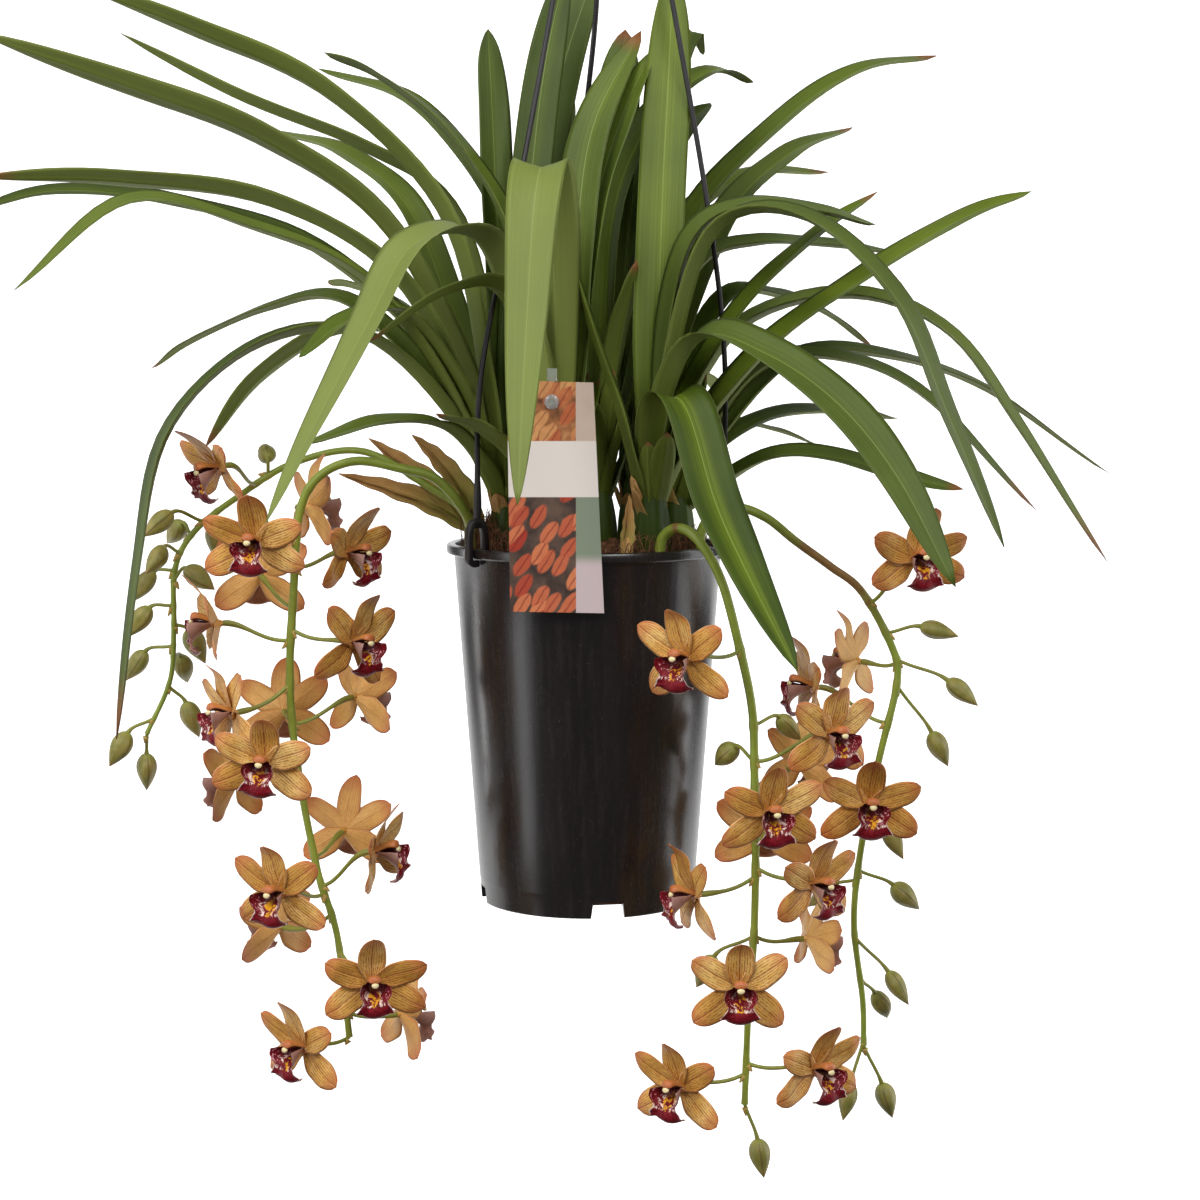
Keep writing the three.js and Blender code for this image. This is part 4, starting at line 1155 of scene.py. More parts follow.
def swept(skins, path, side, width, depth, sides=16):
    """A bar with a rounded rectangular section along a path. side is its flat width's direction."""
    tangents = unit(np.gradient(path, axis=0))
    over = np.cross(np.broadcast_to(side, tangents.shape), tangents)
    angles = ring(sides, 0.5)
    x = swelled(np.cos(angles), 0.45) * width / 2
    y = swelled(np.sin(angles), 0.45) * depth / 2
    rings = path[:, None] + x[None, :, None] * np.asarray(side) + y[None, :, None] * over[:, None]
    skins.tube(rings)


# %% Clips, strands, hub and hook
def clip_skin(skins, azimuth):
    outward = bearing(azimuth)
    side = np.cross(UP, outward)
    outer = LIP_RADIUS + 0.3 + CLIP_BAR / 2
    inner = inner_radius(0) - 1.0 - CLIP_BAR / 2
    middle = (outer + inner) / 2
    bend = [
        (outer - 6.2, -9.0), (outer - 2.5, -9.2), (outer, -7.0), (outer, -1.0), (outer, 7.0),
        (outer - 0.8, 12.5), (middle + 2.5, 16.6), (middle - 2.5, 16.6), (inner + 0.8, 12.5),
        (inner, 7.0), (inner, -3.5),
    ]
    route = along(bend, np.linspace(0, 1, 61))
    path = route[:, :1] * outward + route[:, 1:] * UP
    swept(skins, path, side, CLIP_WIDTH, CLIP_BAR * 0.9)
    ear = np.array([outward * (middle + d) + UP * 15.5 for d in (-3.2, -1.2, 1.2, 3.2)])
    swept(skins, ear, side, CLIP_WIDTH * 0.8, 5.2)


for name, azimuth in CLIP_AZIMUTHS.items():
    clip = Skins()
    clip_skin(clip, azimuth)
    settle(clip.make(f"hanger_clip_{name}", [hanger_satin]), "hanger_plastic", f"hanger_strand_{name}")
    socket = bearing(azimuth) * STRAND_SOCKET + np.array([HUB_X, 0, HUB_Z])
    route = strand_routes[name] + [socket + UP * rise for rise in (-14, -3, 8)]
    path = along(route, np.linspace(0, 1, STRAND_POINTS))
    knuckle = 1 + 0.5 * bell(np.arange(STRAND_POINTS) - 2, 2.5)
    strand = tubes(f"hanger_strand_bar_{name}", [(path, STRAND_RADIUS * knuckle, 0.5)], hanger_satin, 14)
    settle(strand, "hanger_plastic", f"hanger_strand_{name}")

hub_section = [
    (0.0, HUB_Z), (HUB_RADIUS - 2.2, HUB_Z), (HUB_RADIUS - 0.6, HUB_Z + 0.8), (HUB_RADIUS, HUB_Z + 2.4),
    (HUB_RADIUS, HUB_Z + 8.5), (HUB_RADIUS - 0.7, HUB_Z + 10), (HUB_RADIUS - 3, HUB_Z + 12),
    (4.4, HUB_Z + 13.4), (3.4, HUB_TOP), (0.0, HUB_TOP),
]
hub = spun("hanger_hub", hub_section, 64, hanger_satin, (HUB_X, 0.0))
settle(hub, "hanger_plastic", "hanger_hook")
hook_angles = np.radians(np.arange(-75, 190.1, 26.5))
bend_radius = HOOK_INNER + HOOK_WIRE
hook_route = [(HUB_X, 0, HUB_TOP - 2), (HUB_X, 0, HUB_TOP + 8)]
hook_route += [
    (HUB_X + bend_radius * math.cos(a), 0, HOOK_CENTRE_Z + bend_radius * math.sin(a)) for a in hook_angles
]
hook_path = along(hook_route, np.linspace(0, 1, HOOK_POINTS))
hook_end = np.minimum(1, 0.55 + 0.1 * np.arange(HOOK_POINTS)[::-1])
hook = tubes("hanger_hook_bar", [(hook_path, HOOK_WIRE * hook_end, 0.5)], hanger_satin, 18)
settle(hook, "hanger_plastic", "hanger_hook")
print("hanger pieces:", sum(p.name.startswith("hanger") for p in made))

# %% [markdown]
# ## Plant label
# A printed card hangs on a clear stake by a round peg. The card keeps its solid, which is already
# right: a thin flat quadrilateral with a hole. Its print is a plain design of this script's own,
# in the label's range of colours: soft petal shapes on a warm brown, a bare band, a darker field
# with redder petals, and a plain strip on the right. It is painted by place, in the card's plane.


# %% Card finish
CARD_LEFT, CARD_LOW, CARD_WIDTH, CARD_HEIGHT = -48.0, -36.0, 0.056, 0.141


def card_finish():
    f = Finish("card_printed", Coat_Weight=0.25, Coat_Roughness=0.2)
    here = f.place()
    x = (f.axis(here) + (HOOK_ORIGIN[0] - CARD_LEFT) / 1000) / CARD_WIDTH
    z = (f.axis(here, 2) + (HOOK_ORIGIN[2] - CARD_LOW) / 1000) / CARD_HEIGHT
    soft = f.noise(f.vector(x * 3, z * 7), 1.0, 3, 0.6)
    fine = f.noise(f.vector(x * 12, z * 30, 4.0), 1.0, 3, 0.6)
    slant = f.vector(x * 5.4 - z * 9 + soft * 0.5, x * 1.7 + z * 7)
    spot = {"Vector": slant, "Scale": 1.0, "Randomness": 0.85}
    reach, tint, seed = (
        f.node("ShaderNodeTexVoronoi", spot, output, voronoi_dimensions="2D", feature="F1")
        for output in ("Distance", "Color", "Position")
    )
    tint = f.axis(tint)
    offset = f.node("ShaderNodeVectorMath", {0: slant, 1: seed}, operation="SUBTRACT")
    petal = reach.rises(0.52, 0.4)
    heart = abs(f.axis(offset)).rises(0.09, 0.02) * petal
    warm = f.shades(soft * 0.6 + fine * 0.4, (0.3, 74, 42, 24), (0.5, 150, 92, 50), (0.72, 210, 156, 100))
    top = f.blend(petal * 0.6, warm, f.coats(rgb(188, 70, 30), (tint, 226, 168, 104)))
    top = f.coats(top, (heart * 0.5, 110, 34, 22))
    dark = f.coats(rgb(50, 36, 32), (soft.rises(0.3, 0.7), 98, 76, 62))
    low = f.blend(petal * (0.6 + fine * 0.4), dark, f.coats(rgb(176, 44, 24), (tint, 228, 132, 84)))
    low = f.coats(low, (heart * 0.6, 120, 26, 22))
    bare = f.coats(rgb(226, 216, 208), (soft * 0.4, 214, 202, 192))
    strip_top = f.coats(rgb(210, 192, 176), (soft, 186, 158, 140))
    strip_low = f.coats(rgb(198, 180, 180), (z.rises(0.2, 0.26), 128, 138, 118))
    side = x.rises(0.735, 0.745)
    colour = f.blend(z.rises(0.738, 0.742), bare, f.blend(side, top, strip_top))
    colour = f.blend(z.rises(0.502, 0.498), colour, f.blend(side, low, strip_low))
    f.feed(Base_Color=colour, Roughness=0.36 + soft * 0.14)
    f.bump(f.cloud(1500, 2, 0.5), 0.00004, 0.4)
    return f.material


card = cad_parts["plant_label"]
card.data.materials.clear()
card.data.materials.append(card_finish())
print("card finish on", card.name)

# %% [markdown]
# The stake is clear polystyrene: a flat strip with a point in the bark, and a button whose peg
# goes through the card's hole. Clear plastic is mostly transmission, with a faint haze.


# %% Stake
def clear_finish():
    f = Finish("clear_plastic", Transmission_Weight=0.82, IOR=1.49)
    haze = f.cloud(220, 3, 0.6)
    colour = f.coats(rgb(228, 234, 232), (haze, 244, 247, 246))
    f.feed(Base_Color=colour, Roughness=0.1 + haze * 0.12)
    f.bump(haze, 0.0001, 0.3)
    return f.material


LABEL_Y, LABEL_THICKNESS, STAKE_CREASE = -91.4, 0.8, 35
PEG = (-21.0, 92.0)
stake_foot = np.array([PEG[0] + 1, -71, -SOIL_DEPTH - 34])
stake_head = np.array([PEG[0], LABEL_Y + LABEL_THICKNESS + 2.2, 112])


def stake_piece():
    skins = Skins()
    shares = np.concatenate([np.linspace(0, 0.12, 8), np.linspace(0.16, 1, 16)])
    widths = np.where(shares < 0.12, mix(0.25, 1.0, shares / 0.12), 1.0)
    path = mix(stake_foot, stake_head, shares[:, None])
    angles = ring(20, 0.5)
    x = swelled(np.cos(angles), 0.35) * 3.0
    y = swelled(np.sin(angles), 0.5) * 0.8
    flat = np.stack([widths[:, None] * x, np.broadcast_to(y, (24, 20)), np.zeros((24, 20))], axis=-1)
    skins.tube(path[:, None] + flat)
    front, back = LABEL_Y - 1.8, LABEL_Y + LABEL_THICKNESS + 4.6
    button = [
        (front, 2.2), (front + 0.25, 3.6), (front + 0.7, 4.4), (LABEL_Y - 0.6, 4.4),
        (LABEL_Y - 0.32, 4.1), (LABEL_Y - 0.3, 1.85), (back - 0.4, 1.8), (back, 1.3),
    ]
    angles = ring(36)
    skins.tube([hoop(PEG, r, y, angles)[:, [0, 2, 1]] for y, r in button])
    return skins.make("stake_clear", [clear_finish()])


stake = stake_piece()
stake.data.set_sharp_from_angle(angle=math.radians(STAKE_CREASE))
settle(stake, "clear_plastic", "label_stake")
print("stake faces:", len(stake.data.polygons))

# %% [markdown]
# ## Growths: bulbs with fans of leaves
# Each growth is a short swollen stem with a fan of leaves. The table says, for each leaf, which
# way it points, its width, how its blade is turned, and a few points of its arch as reach from
# the bulb and height above the rim. Leaves are built row by row: the blade is narrow and folded
# where it clasps the bulb, opens to a shallow V, and closes to a point. Forty-six rows and eleven
# columns are enough for a smooth arch with a sunken midrib.

# %% Leaf tables
growths = {
  "growth_left_front": { "at": [-50, -16], "leaves": [
    [176, 24, 0, 25, [15, 100], [40, 205], [110, 280], [195, 322], [268, 350]],
    [186, 22, 0, 20, [30, 95], [75, 172], [150, 214], [240, 227], [325, 228]],
    [198, 20, 0, -15, [35, 90], [90, 165], [160, 197], [235, 212], [304, 158]],
    [192, 20, 10, -30, [40, 85], [95, 133], [160, 124], [212, 73], [232, -10], [246, -117]],
    [208, 24, 0, 0, [30, 90], [70, 145], [110, 140], [140, 118]],
    [226, 20, 0, 0, [22, 48], [55, 76], [105, 80], [165, 68]],
    [105, 22, 0, 20, [12, 110], [30, 210], [45, 290], [55, 327]],
    [60, 24, 15, 20, [12, 110], [25, 210], [45, 300], [75, 374]],
  ] },
  "growth_left_back": { "at": [-42, 32], "leaves": [
    [188, 25, 0, 30, [40, 110], [90, 201], [162, 254], [240, 285], [338, 318]],
    [172, 18, 0, 20, [20, 110], [44, 210], [104, 252], [193, 289], [266, 328]],
    [140, 22, 0, 0, [50, 115], [98, 212], [162, 255], [238, 275]],
    [178, 20, 0, -20, [60, 120], [140, 190], [227, 217], [301, 225], [358, 212]],
    [160, 20, 0, 0, [65, 100], [127, 154], [183, 150], [242, 128], [273, 109]],
    [132, 18, 0, 10, [75, 95], [130, 150], [182, 166], [212, 168]],
    [45, 28, 15, 10, [10, 110], [15, 215], [35, 300], [70, 378]],
    [65, 22, 0, 10, [15, 120], [35, 225], [75, 290]],
  ] },
  "growth_centre_front": { "at": [-16, -30], "leaves": [
    [222, 34, 0, -10, [20, 80], [43, 153], [71, 192], [117, 185], [150, 140], [188, 83], [224, 25]],
    [224, 20, 0, 30, [15, 90], [44, 156], [94, 158], [156, 127]],
    [217, 25, 0, 0, [20, 35], [45, 62], [70, 78], [94, 84]],
    [160, 26, 0, 10, [18, 100], [36, 197], [71, 253], [120, 293], [162, 311]],
    [50, 26, 10, 10, [10, 110], [16, 200], [32, 265], [78, 325]],
    [40, 24, 0, 10, [12, 100], [26, 205], [50, 270], [75, 312]],
    [262, 31, 0, 0, [15, 110], [40, 200], [72, 231], [105, 205], [130, 140], [150, 85], [163, 36]],
  ] },
  "growth_centre": { "at": [6, 10], "leaves": [
    [30, 28, 0, 0, [5, 105], [12, 208], [40, 268], [85, 302], [118, 296]],
    [72, 30, 0, 10, [8, 110], [22, 205], [42, 280], [60, 330]],
    [15, 22, 0, 10, [15, 95], [30, 175], [50, 240]],
    [310, 20, 0, 0, [10, 70], [22, 130], [40, 178]],
  ] },
  "growth_right_front": { "at": [40, -34], "leaves": [
    [75, 28, 0, 10, [15, 120], [30, 230], [45, 300], [55, 362]],
    [4, 26, 0, 0, [10, 110], [24, 189], [62, 212], [108, 208], [140, 200]],
    [341, 22, 0, 25, [14, 110], [42, 196], [98, 203], [154, 155], [187, 85], [222, 5]],
    [14, 20, 0, 0, [14, 70], [50, 138], [100, 189], [148, 222]],
    [8, 26, 0, 10, [26, 65], [77, 126], [136, 168], [196, 204], [243, 222]],
    [325, 28, 0, 45, [8, 75], [35, 130], [83, 121], [133, 92], [175, 48], [213, -14]],
    [300, 31, 0, 0, [10, 58], [22, 92], [44, 84], [74, 33], [108, -6], [163, -61]],
    [190, 20, 0, 0, [12, 50], [25, 99], [46, 162], [49, 205]],
  ] },
  "growth_right_back": { "at": [32, 44], "leaves": [
    [45, 30, 0, 0, [5, 110], [12, 215], [36, 262], [70, 285]],
    [55, 22, 0, 20, [10, 120], [22, 220], [38, 300], [62, 332], [78, 318]],
    [20, 26, 0, 0, [12, 100], [35, 199], [100, 270], [160, 308], [215, 318]],
    [42, 24, 0, 0, [30, 110], [78, 206], [140, 254], [205, 276]],
    [6, 24, 0, 0, [14, 100], [40, 175], [80, 192], [126, 191], [172, 186]],
    [22, 22, 0, 0, [28, 90], [65, 155], [105, 158], [140, 146], [172, 124]],
    [352, 24, 0, 0, [28, 75], [70, 138], [138, 157], [200, 135], [246, 75], [304, -13]],
    [30, 9, 0, 0, [30, 50], [75, 72], [112, 68], [152, 54]],
  ] },
  "growth_back": { "at": [-8, 60], "leaves": [
    [35, 22, 0, 10, [30, 110], [75, 195], [140, 240], [215, 245]],
    [70, 24, 0, 0, [28, 120], [65, 215], [130, 270], [205, 280]],
    [82, 26, 0, 0, [40, 100], [95, 180], [165, 215], [245, 205], [300, 160]],
    [160, 22, 0, -10, [25, 120], [60, 220], [115, 285], [185, 310]],
    [166, 22, 0, 10, [40, 75], [90, 125], [160, 135], [220, 105], [262, 55]],
    [58, 20, 0, 10, [50, 65], [110, 105], [175, 100], [230, 60]],
  ] },
  "growth_right": { "at": [56, 12], "leaves": [
    [2, 22, 0, 10, [20, 62], [58, 112], [112, 116], [165, 90], [234, 19]],
    [15, 22, 0, 0, [28, 62], [81, 116], [147, 118], [218, 95], [305, 39]],
    [354, 17, 0, 30, [20, 28], [60, 54], [104, 54], [146, 42], [184, 34]],
    [27, 20, 0, 0, [24, 52], [70, 78], [128, 82], [170, 76]],
  ] },
}

# %% Blade rows
LEAF_ROOT_Z, LEAF_ROOT_REACH = 18.0, 5.0
LEAF_ROWS, SHEATH_ROWS, LEAF_COLUMNS = 46, 22, 11
LEAF_WIDENING, SHEATHS = 1.08, 11
LEAF_SEED = 21
leaf_random = np.random.default_rng(LEAF_SEED)


def leaf_spread(t, slender=False):
    """Share of a leaf's full width at t: narrow root, full middle, pointed tip."""
    root = 0.4 + 0.6 * ease(t / 0.3)
    start, power = (0.5, 1.25) if slender else (0.54, 3.0)
    tip = 1 - np.clip((t - start) / (1 - start), 0, 1) ** power
    return root * np.clip(tip, 0, 1) ** 0.68


def leaf_rows(at, azimuth, width, roll, twist, path, wave=1.0, slender=False, rows=LEAF_ROWS):
    """The two sides of one leaf, rows by columns of points."""
    outward = bearing(azimuth)
    level = np.array([-outward[1], outward[0], 0.0])
    height = min(LEAF_ROOT_Z, path[0][1] * 0.5)
    profile = [(LEAF_ROOT_REACH - 2, height - 26), (LEAF_ROOT_REACH, height), *path]
    knots = np.array([outward * reach + UP * z for reach, z in profile]) + [at[0], at[1], 0]
    t = np.linspace(0, 1, rows) ** 0.94
    first = 1 / (len(knots) - 1)
    share = np.clip((t - first) / (1 - first), 0, 1)
    centre, tangent = along(knots, t), heading(knots, t)
    angle = np.radians(roll + twist * share)
    across = turned(np.broadcast_to(level, tangent.shape), tangent, angle)
    across = unit(across - tangent * np.sum(across * tangent, axis=-1, keepdims=True))
    over = np.cross(tangent, across)
    breadth = width * leaf_spread(share, slender) * np.where(t < first, mix(1.25, 1.0, t / first), 1.0)
    breadth = np.maximum(breadth, 0.5)
    fold = breadth * (0.32 * (1 - share) ** 2 + 0.06)
    fold = fold * np.where(t < first, mix(1.5, 1.0, t / first), 1.0)
    x = np.linspace(-1, 1, LEAF_COLUMNS)
    edge = np.abs(x)
    lift = fold[:, None] * edge ** 1.5
    ripple = wave * 0.5 * np.sin(share * 23 + leaf_random.random() * 6)[:, None] * edge**3
    flat = np.clip(breadth / 14, 0, 1)[:, None]
    rib = -0.55 * bell(x, 0.09) * flat
    upper = centre[:, None] + across[:, None] * (x * breadth[:, None] / 2)[..., None]
    upper = upper + over[:, None] * (lift + ripple + rib + 0.45)[..., None]
    thick = (0.35 + 0.75 * (1 - edge**2)) * np.clip(breadth / 8, 0.15, 1)[:, None]
    keel = -0.5 * bell(x, 0.12) * flat
    lower = upper - over[:, None] * (thick - rib * 0.6 - keel)[..., None]
    return upper, lower, share


# %% Bulbs, sheaths and leaves of one growth
# Tones and pale coats set leaf by leaf. On the two front leaves that hang towards the camera, centre front 0
# and 6, the high tone and the pale coat are a painted sheen: light reflected off their upper face. The other
# entries are the leaves' own colour.
tones_and_sheen = {
    ("growth_centre_front", 0): 0.66, ("growth_centre_front", 6): 0.72, ("growth_right_front", 6): 0.36,
    ("growth_left_front", 0): 0.5, ("growth_left_front", 1): 0.3, ("growth_centre", 1): 0.42,
}
painted_sheens = {("growth_centre_front", 0): 1.0, ("growth_centre_front", 6): 0.8, ("growth_right_front", 6): 0.0}
as_drawn = {("growth_centre_front", number) for number in range(7)}
as_drawn |= {("growth_left_front", 3), ("growth_right_front", 2), ("growth_right_front", 5)}
slender_leaves = {("growth_centre_front", 0), ("growth_centre_front", 6)}
glows = {("growth_right_front", 6): 0.5, ("growth_centre", 0): 0.5, ("growth_right_front", 0): 0.4}


def bulb_skin(skins, at):
    """A swollen stem with shallow ribs, wrapped by the leaf bases."""
    profile = [(9.5, -SOIL_DEPTH - 8), (12, -4), (12.6, 6), (11.4, 18), (8.6, 32), (5.0, 44), (1.6, 51)]
    angles = ring(40)
    rings = []
    for r, z in along(profile, np.linspace(0, 1, 24)):
        ribs = 1 + min(0.05, r / 250) * np.cos(angles * 7 + at[0])
        rings.append(hoop(at, r * ribs, z, angles))
    skins.tube(rings, tone=0.4)


def shown(azimuth, roll, twist):
    """Turn a blade that points sideways a little further, so that its breadth shows in front."""
    facing = math.cos(math.radians(azimuth))
    lean = math.copysign(9, twist) if twist else math.copysign(14, facing)
    return roll + lean * abs(facing), twist * 1.1


def growth_piece(name, growth):
    skins = Skins()
    at = growth["at"]
    bulb_skin(skins, at)
    for number, (azimuth, width, roll, twist, *path) in enumerate(growth["leaves"]):
        leaf = (name, number)
        if leaf not in as_drawn:
            roll, twist = shown(azimuth, roll, twist)
        slender = leaf in slender_leaves
        rows = leaf_rows(at, azimuth, width * LEAF_WIDENING, roll, twist, path, slender=slender)
        tone = tones_and_sheen.get(leaf, 0.2 + 0.55 * leaf_random.random())
        dry = float(leaf_random.random() < 0.35)
        glow = glows.get(leaf, 0.25 * leaf_random.random())
        # The pale coat: a random paleness, or the painted sheen given above.
        pale = painted_sheens.get(leaf, 0.35 * leaf_random.random())
        skins.sheet(*rows, tone=tone, glow=glow, dry=dry, pale=pale)
    for number in range(SHEATHS):
        azimuth = number * 131 + leaf_random.uniform(-25, 25)
        old = number % 3 == 1
        rise = leaf_random.uniform(24, 50) if old else leaf_random.uniform(50, 112)
        lean = leaf_random.uniform(0.1, 0.22) * rise
        path = [[7 + lean * 0.4, rise * 0.6], [8 + lean, rise]]
        width = leaf_random.uniform(11, 17)
        roll = leaf_random.uniform(-20, 20)
        rows = leaf_rows(at, azimuth, width, roll, 0, path, 0.4, rows=SHEATH_ROWS)
        skins.sheet(*rows, finish=int(old), tone=0.4 + 0.5 * leaf_random.random(), dry=1.0)
    piece = skins.make(name.replace("growth", "leaves"), [leaf_green, husk_brown])
    return settle(piece, "leaf", name)


for name, growth in growths.items():
    print(name, len(growth_piece(name, growth).data.polygons), "faces")

# %% [markdown]
# ## Dry husks
# At the left and in front, a few old sheaths stand away from the growths. They are the same kind
# of blade, shorter, curled inwards along their length, with a torn wavy rim.

# %% Husks
husks = {
  "husk_left": { "at": [-68, 6], "blades": [
    [[-70, 6, 4], [-92, 8, 30], [-118, 8, 50], [-140, 8, 66]],
    [[-68, 8, 4], [-82, 14, 34], [-98, 16, 54], [-113, 16, 68]],
    [[-68, 4, 6], [-94, 5, 22], [-128, 10, 34], [-160, 14, 43]],
  ], "width": 16 },
  "husk_right": { "at": [24, -62], "blades": [
    [[24, -62, -4], [25, -63, 14], [26, -63, 34]],
  ], "width": 10 },
}


def husk_piece(name, husk):
    skins = Skins()
    foot = husk["at"]
    root = ((4.0, -SOIL_DEPTH - ROOT_DEPTH + 1), (4.8, -8), (4.4, 2), (2.4, 8))
    skins.tube([hoop(foot, r, z, ring(20)) for r, z in root], tone=0.7)
    for blade in husk["blades"]:
        knots = np.array(blade, float)
        for spin, size in ((0, 1.0), (38, 0.82)):
            t = np.linspace(0, 1, 30)
            centre, tangent = along(knots, t), heading(knots, t)
            across = unit(np.cross(tangent, [0, 1, 0]))
            across = turned(across, tangent, np.radians(spin + 18 * np.sin(t * 2)))
            over = np.cross(across, tangent)
            shape = np.interp(t, [0, 0.3, 0.65, 0.9, 1], [0.6, 1.0, 0.72, 0.3, 0.04])
            breadth = husk["width"] * shape * size
            x = np.linspace(-1, 1, 9)
            torn = 1 + 0.1 * np.sin(t * 31 + x[:, None] * 2).T
            curl = -breadth[:, None] * 0.26 * np.abs(x) ** 1.8
            upper = centre[:, None] + across[:, None] * (x * torn * breadth[:, None] / 2)[..., None]
            upper = upper + over[:, None] * curl[..., None]
            lower = upper + over[:, None] * -0.5
            skins.sheet(upper, lower, t, tone=leaf_random.random())
    return settle(skins.make(name + "_dry", [husk_brown]), "husk", name)


for name, husk in husks.items():
    print(name, len(husk_piece(name, husk).data.polygons), "faces")

# %% [markdown]
# ## Flower stems
# Four stems arch out of the pot and hang down under the weight of their flowers. A joint in the
# table says how far along the stem it sits and where its flower or bud is. From each joint a
# stalk bends out, droops a little, and turns to meet the back of its flower, where it swells
# into the ovary. All of these are lines for the tube tree.

# %% Stem tables
spikes = {
  "spike_left": {
    "radii": [3.3, 2.0],
    "stem": [[-72, -30, -8], [-75, -31, 18], [-94, -36, 42], [-115, -40, 49], [-144, -44, 54],
      [-167, -46, 44], [-179, -46, 21], [-183, -46, -26], [-186, -46, -83],
      [-182, -46, -137], [-170, -46, -204],
      [-158, -46, -246], [-151, -46, -311]],
    "blooms": [
      [0.53, [-202, -80, 6], 258, -8, 0], [0.60, [-209, -8, -21], 105, -5, 5],
      [0.45, [-177, -20, 24], 30, 5, 0], [0.56, [-147, -64, -2], 330, -8, 0],
      [0.62, [-144, -68, -57], 318, -8, -5], [0.71, [-146, -22, -97], 45, -5, 0],
      [0.63, [-231, -50, -47], 192, -5, 0], [0.67, [-220, -66, -101], 215, -5, 8],
      [0.70, [-195, 0, -109], 95, -5, 0], [0.74, [-196, -96, -127], 262, -8, -6],
      [0.75, [-224, -24, -150], 155, -5, 0], [0.82, [-157, -2, -187], 70, 0, 0],
      [0.85, [-132, -62, -189], 343, 0, 7], [0.86, [-188, -92, -208], 245, -8, 0],
      [0.89, [-199, -14, -247], 140, 0, 0], [0.93, [-132, -94, -264], 282, -5, 0],
      [0.98, [-118, -36, -299], 30, -5, 0], [1.00, [-178, -68, -312], 230, -5, 0],
    ],
    "buds": [],
  },
  "spike_far_left": {
    "radii": [2.6, 1.5],
    "stem": [[-76, -12, -8], [-78, -10, 19], [-100, -4, 35], [-144, 4, 58], [-189, 6, 50], [-225, 2, 28],
      [-251, -4, 7], [-263, -8, -17], [-264, -10, -55], [-267, -10, -88], [-282, -12, -122]],
    "blooms": [[0.46, [-230, -36, 49], 215, -20, 0]],
    "buds": [
      [0.57, [-271, -22, 13]], [0.61, [-266, 12, 5]], [0.66, [-272, -30, -9]], [0.70, [-284, -6, -28]],
      [0.72, [-246, -16, -22]], [0.76, [-286, -14, -50]], [0.79, [-250, -8, -66]], [0.83, [-291, 2, -80]],
      [0.85, [-262, 16, -84]], [0.91, [-254, -4, -114]], [0.97, [-299, -18, -131]], [1.00, [-284, -4, -148]],
      [0.44, [-206, 14, 57]], [0.54, [-240, 12, 0]],
    ],
  },
  "spike_right": {
    "radii": [3.4, 2.0],
    "stem": [[44, -60, -8], [47, -61, 8], [57, -68, 14], [69, -76, 6], [82, -80, -17], [92, -82, -53],
      [101, -82, -95], [103, -80, -137], [104, -80, -193], [103, -80, -242], [100, -80, -286],
      [98, -82, -344]],
    "blooms": [
      [0.47, [59, -119, -60], 238, -8, 0], [0.67, [109, -127, -152], 285, -8, 0],
      [0.70, [112, -36, -182], 85, 0, 0], [0.74, [66, -92, -210], 200, -5, 0],
      [0.73, [138, -98, -202], 310, -8, 0], [0.81, [139, -58, -245], 20, -5, 0],
      [0.86, [92, -127, -259], 270, -5, 0], [0.97, [57, -100, -328], 235, -5, 0],
      [0.96, [140, -100, -317], 305, -5, 0], [0.62, [147, -106, -108], 300, -8, 0],
      [0.65, [134, -46, -136], 50, 0, 0],
    ],
    "buds": [
      [0.57, [126, -62, -111]], [0.62, [86, -56, -129]], [0.81, [74, -62, -265]], [1.00, [108, -84, -378]],
    ],
  },
  "spike_far_right": {
    "radii": [3.2, 1.8],
    "stem": [[70, -28, -8], [74, -29, 14], [93, -32, 24], [112, -32, 18], [131, -30, 3], [153, -28, -13],
      [173, -28, -29], [192, -28, -63], [196, -28, -86], [185, -30, -135], [174, -30, -193],
      [170, -30, -241], [176, -30, -291], [177, -30, -321]],
    "blooms": [
      [0.48, [202, -64, -5], 290, -5, 0], [0.58, [172, -6, -76], 150, 0, 0],
      [0.66, [144, -12, -92], 190, 0, 0], [0.71, [174, -74, -157], 275, -8, 0],
    ],
    "buds": [
      [0.52, [222, -30, -54]], [0.57, [236, -38, -92]], [0.62, [224, -24, -130]], [0.73, [194, -42, -186]],
      [0.79, [204, -22, -226]], [0.80, [150, -18, -226]], [0.86, [198, -36, -282]], [0.90, [190, -10, -300]],
      [0.99, [166, -36, -356]], [1.00, [193, -24, -359]],
    ],
  },
}

# %% Stems and stalks
BLOOM_BACK = 4.0
BUD_LENGTH, BUD_RADIUS, BUD_DROOP = 25.0, 6.6, 0.7
STEM_SEED, STEM_POINTS = 33, 170
stem_random = np.random.default_rng(STEM_SEED)


def bezier(a, b, c, d, t):
    t = t[:, None]
    return a * (1 - t) ** 3 + 3 * b * t * (1 - t) ** 2 + 3 * c * t**2 * (1 - t) + d * t**3


def stalk_line(root, centre, look):
    """From a joint to the back of a bloom, swelling into the ovary at its end."""
    end = centre - look * (BLOOM_BACK - 0.6)
    reach = np.linalg.norm(end - root)
    droop = mix(root, end, 0.4) - UP * 0.16 * reach
    t = np.linspace(0, 1, 26)
    path = bezier(root, droop, end - look * 0.32 * reach, end, t)
    radius = 1.25 + 0.75 * ease((t - 0.5) / 0.4) - 0.35 * ease((t - 0.94) / 0.06)
    return path, radius, 0.35 + 0.4 * t


def bud_frame(root, centre, droop):
    axis = unit(unit(centre - root) - UP * droop)
    return axis, centre - axis * BUD_LENGTH / 2


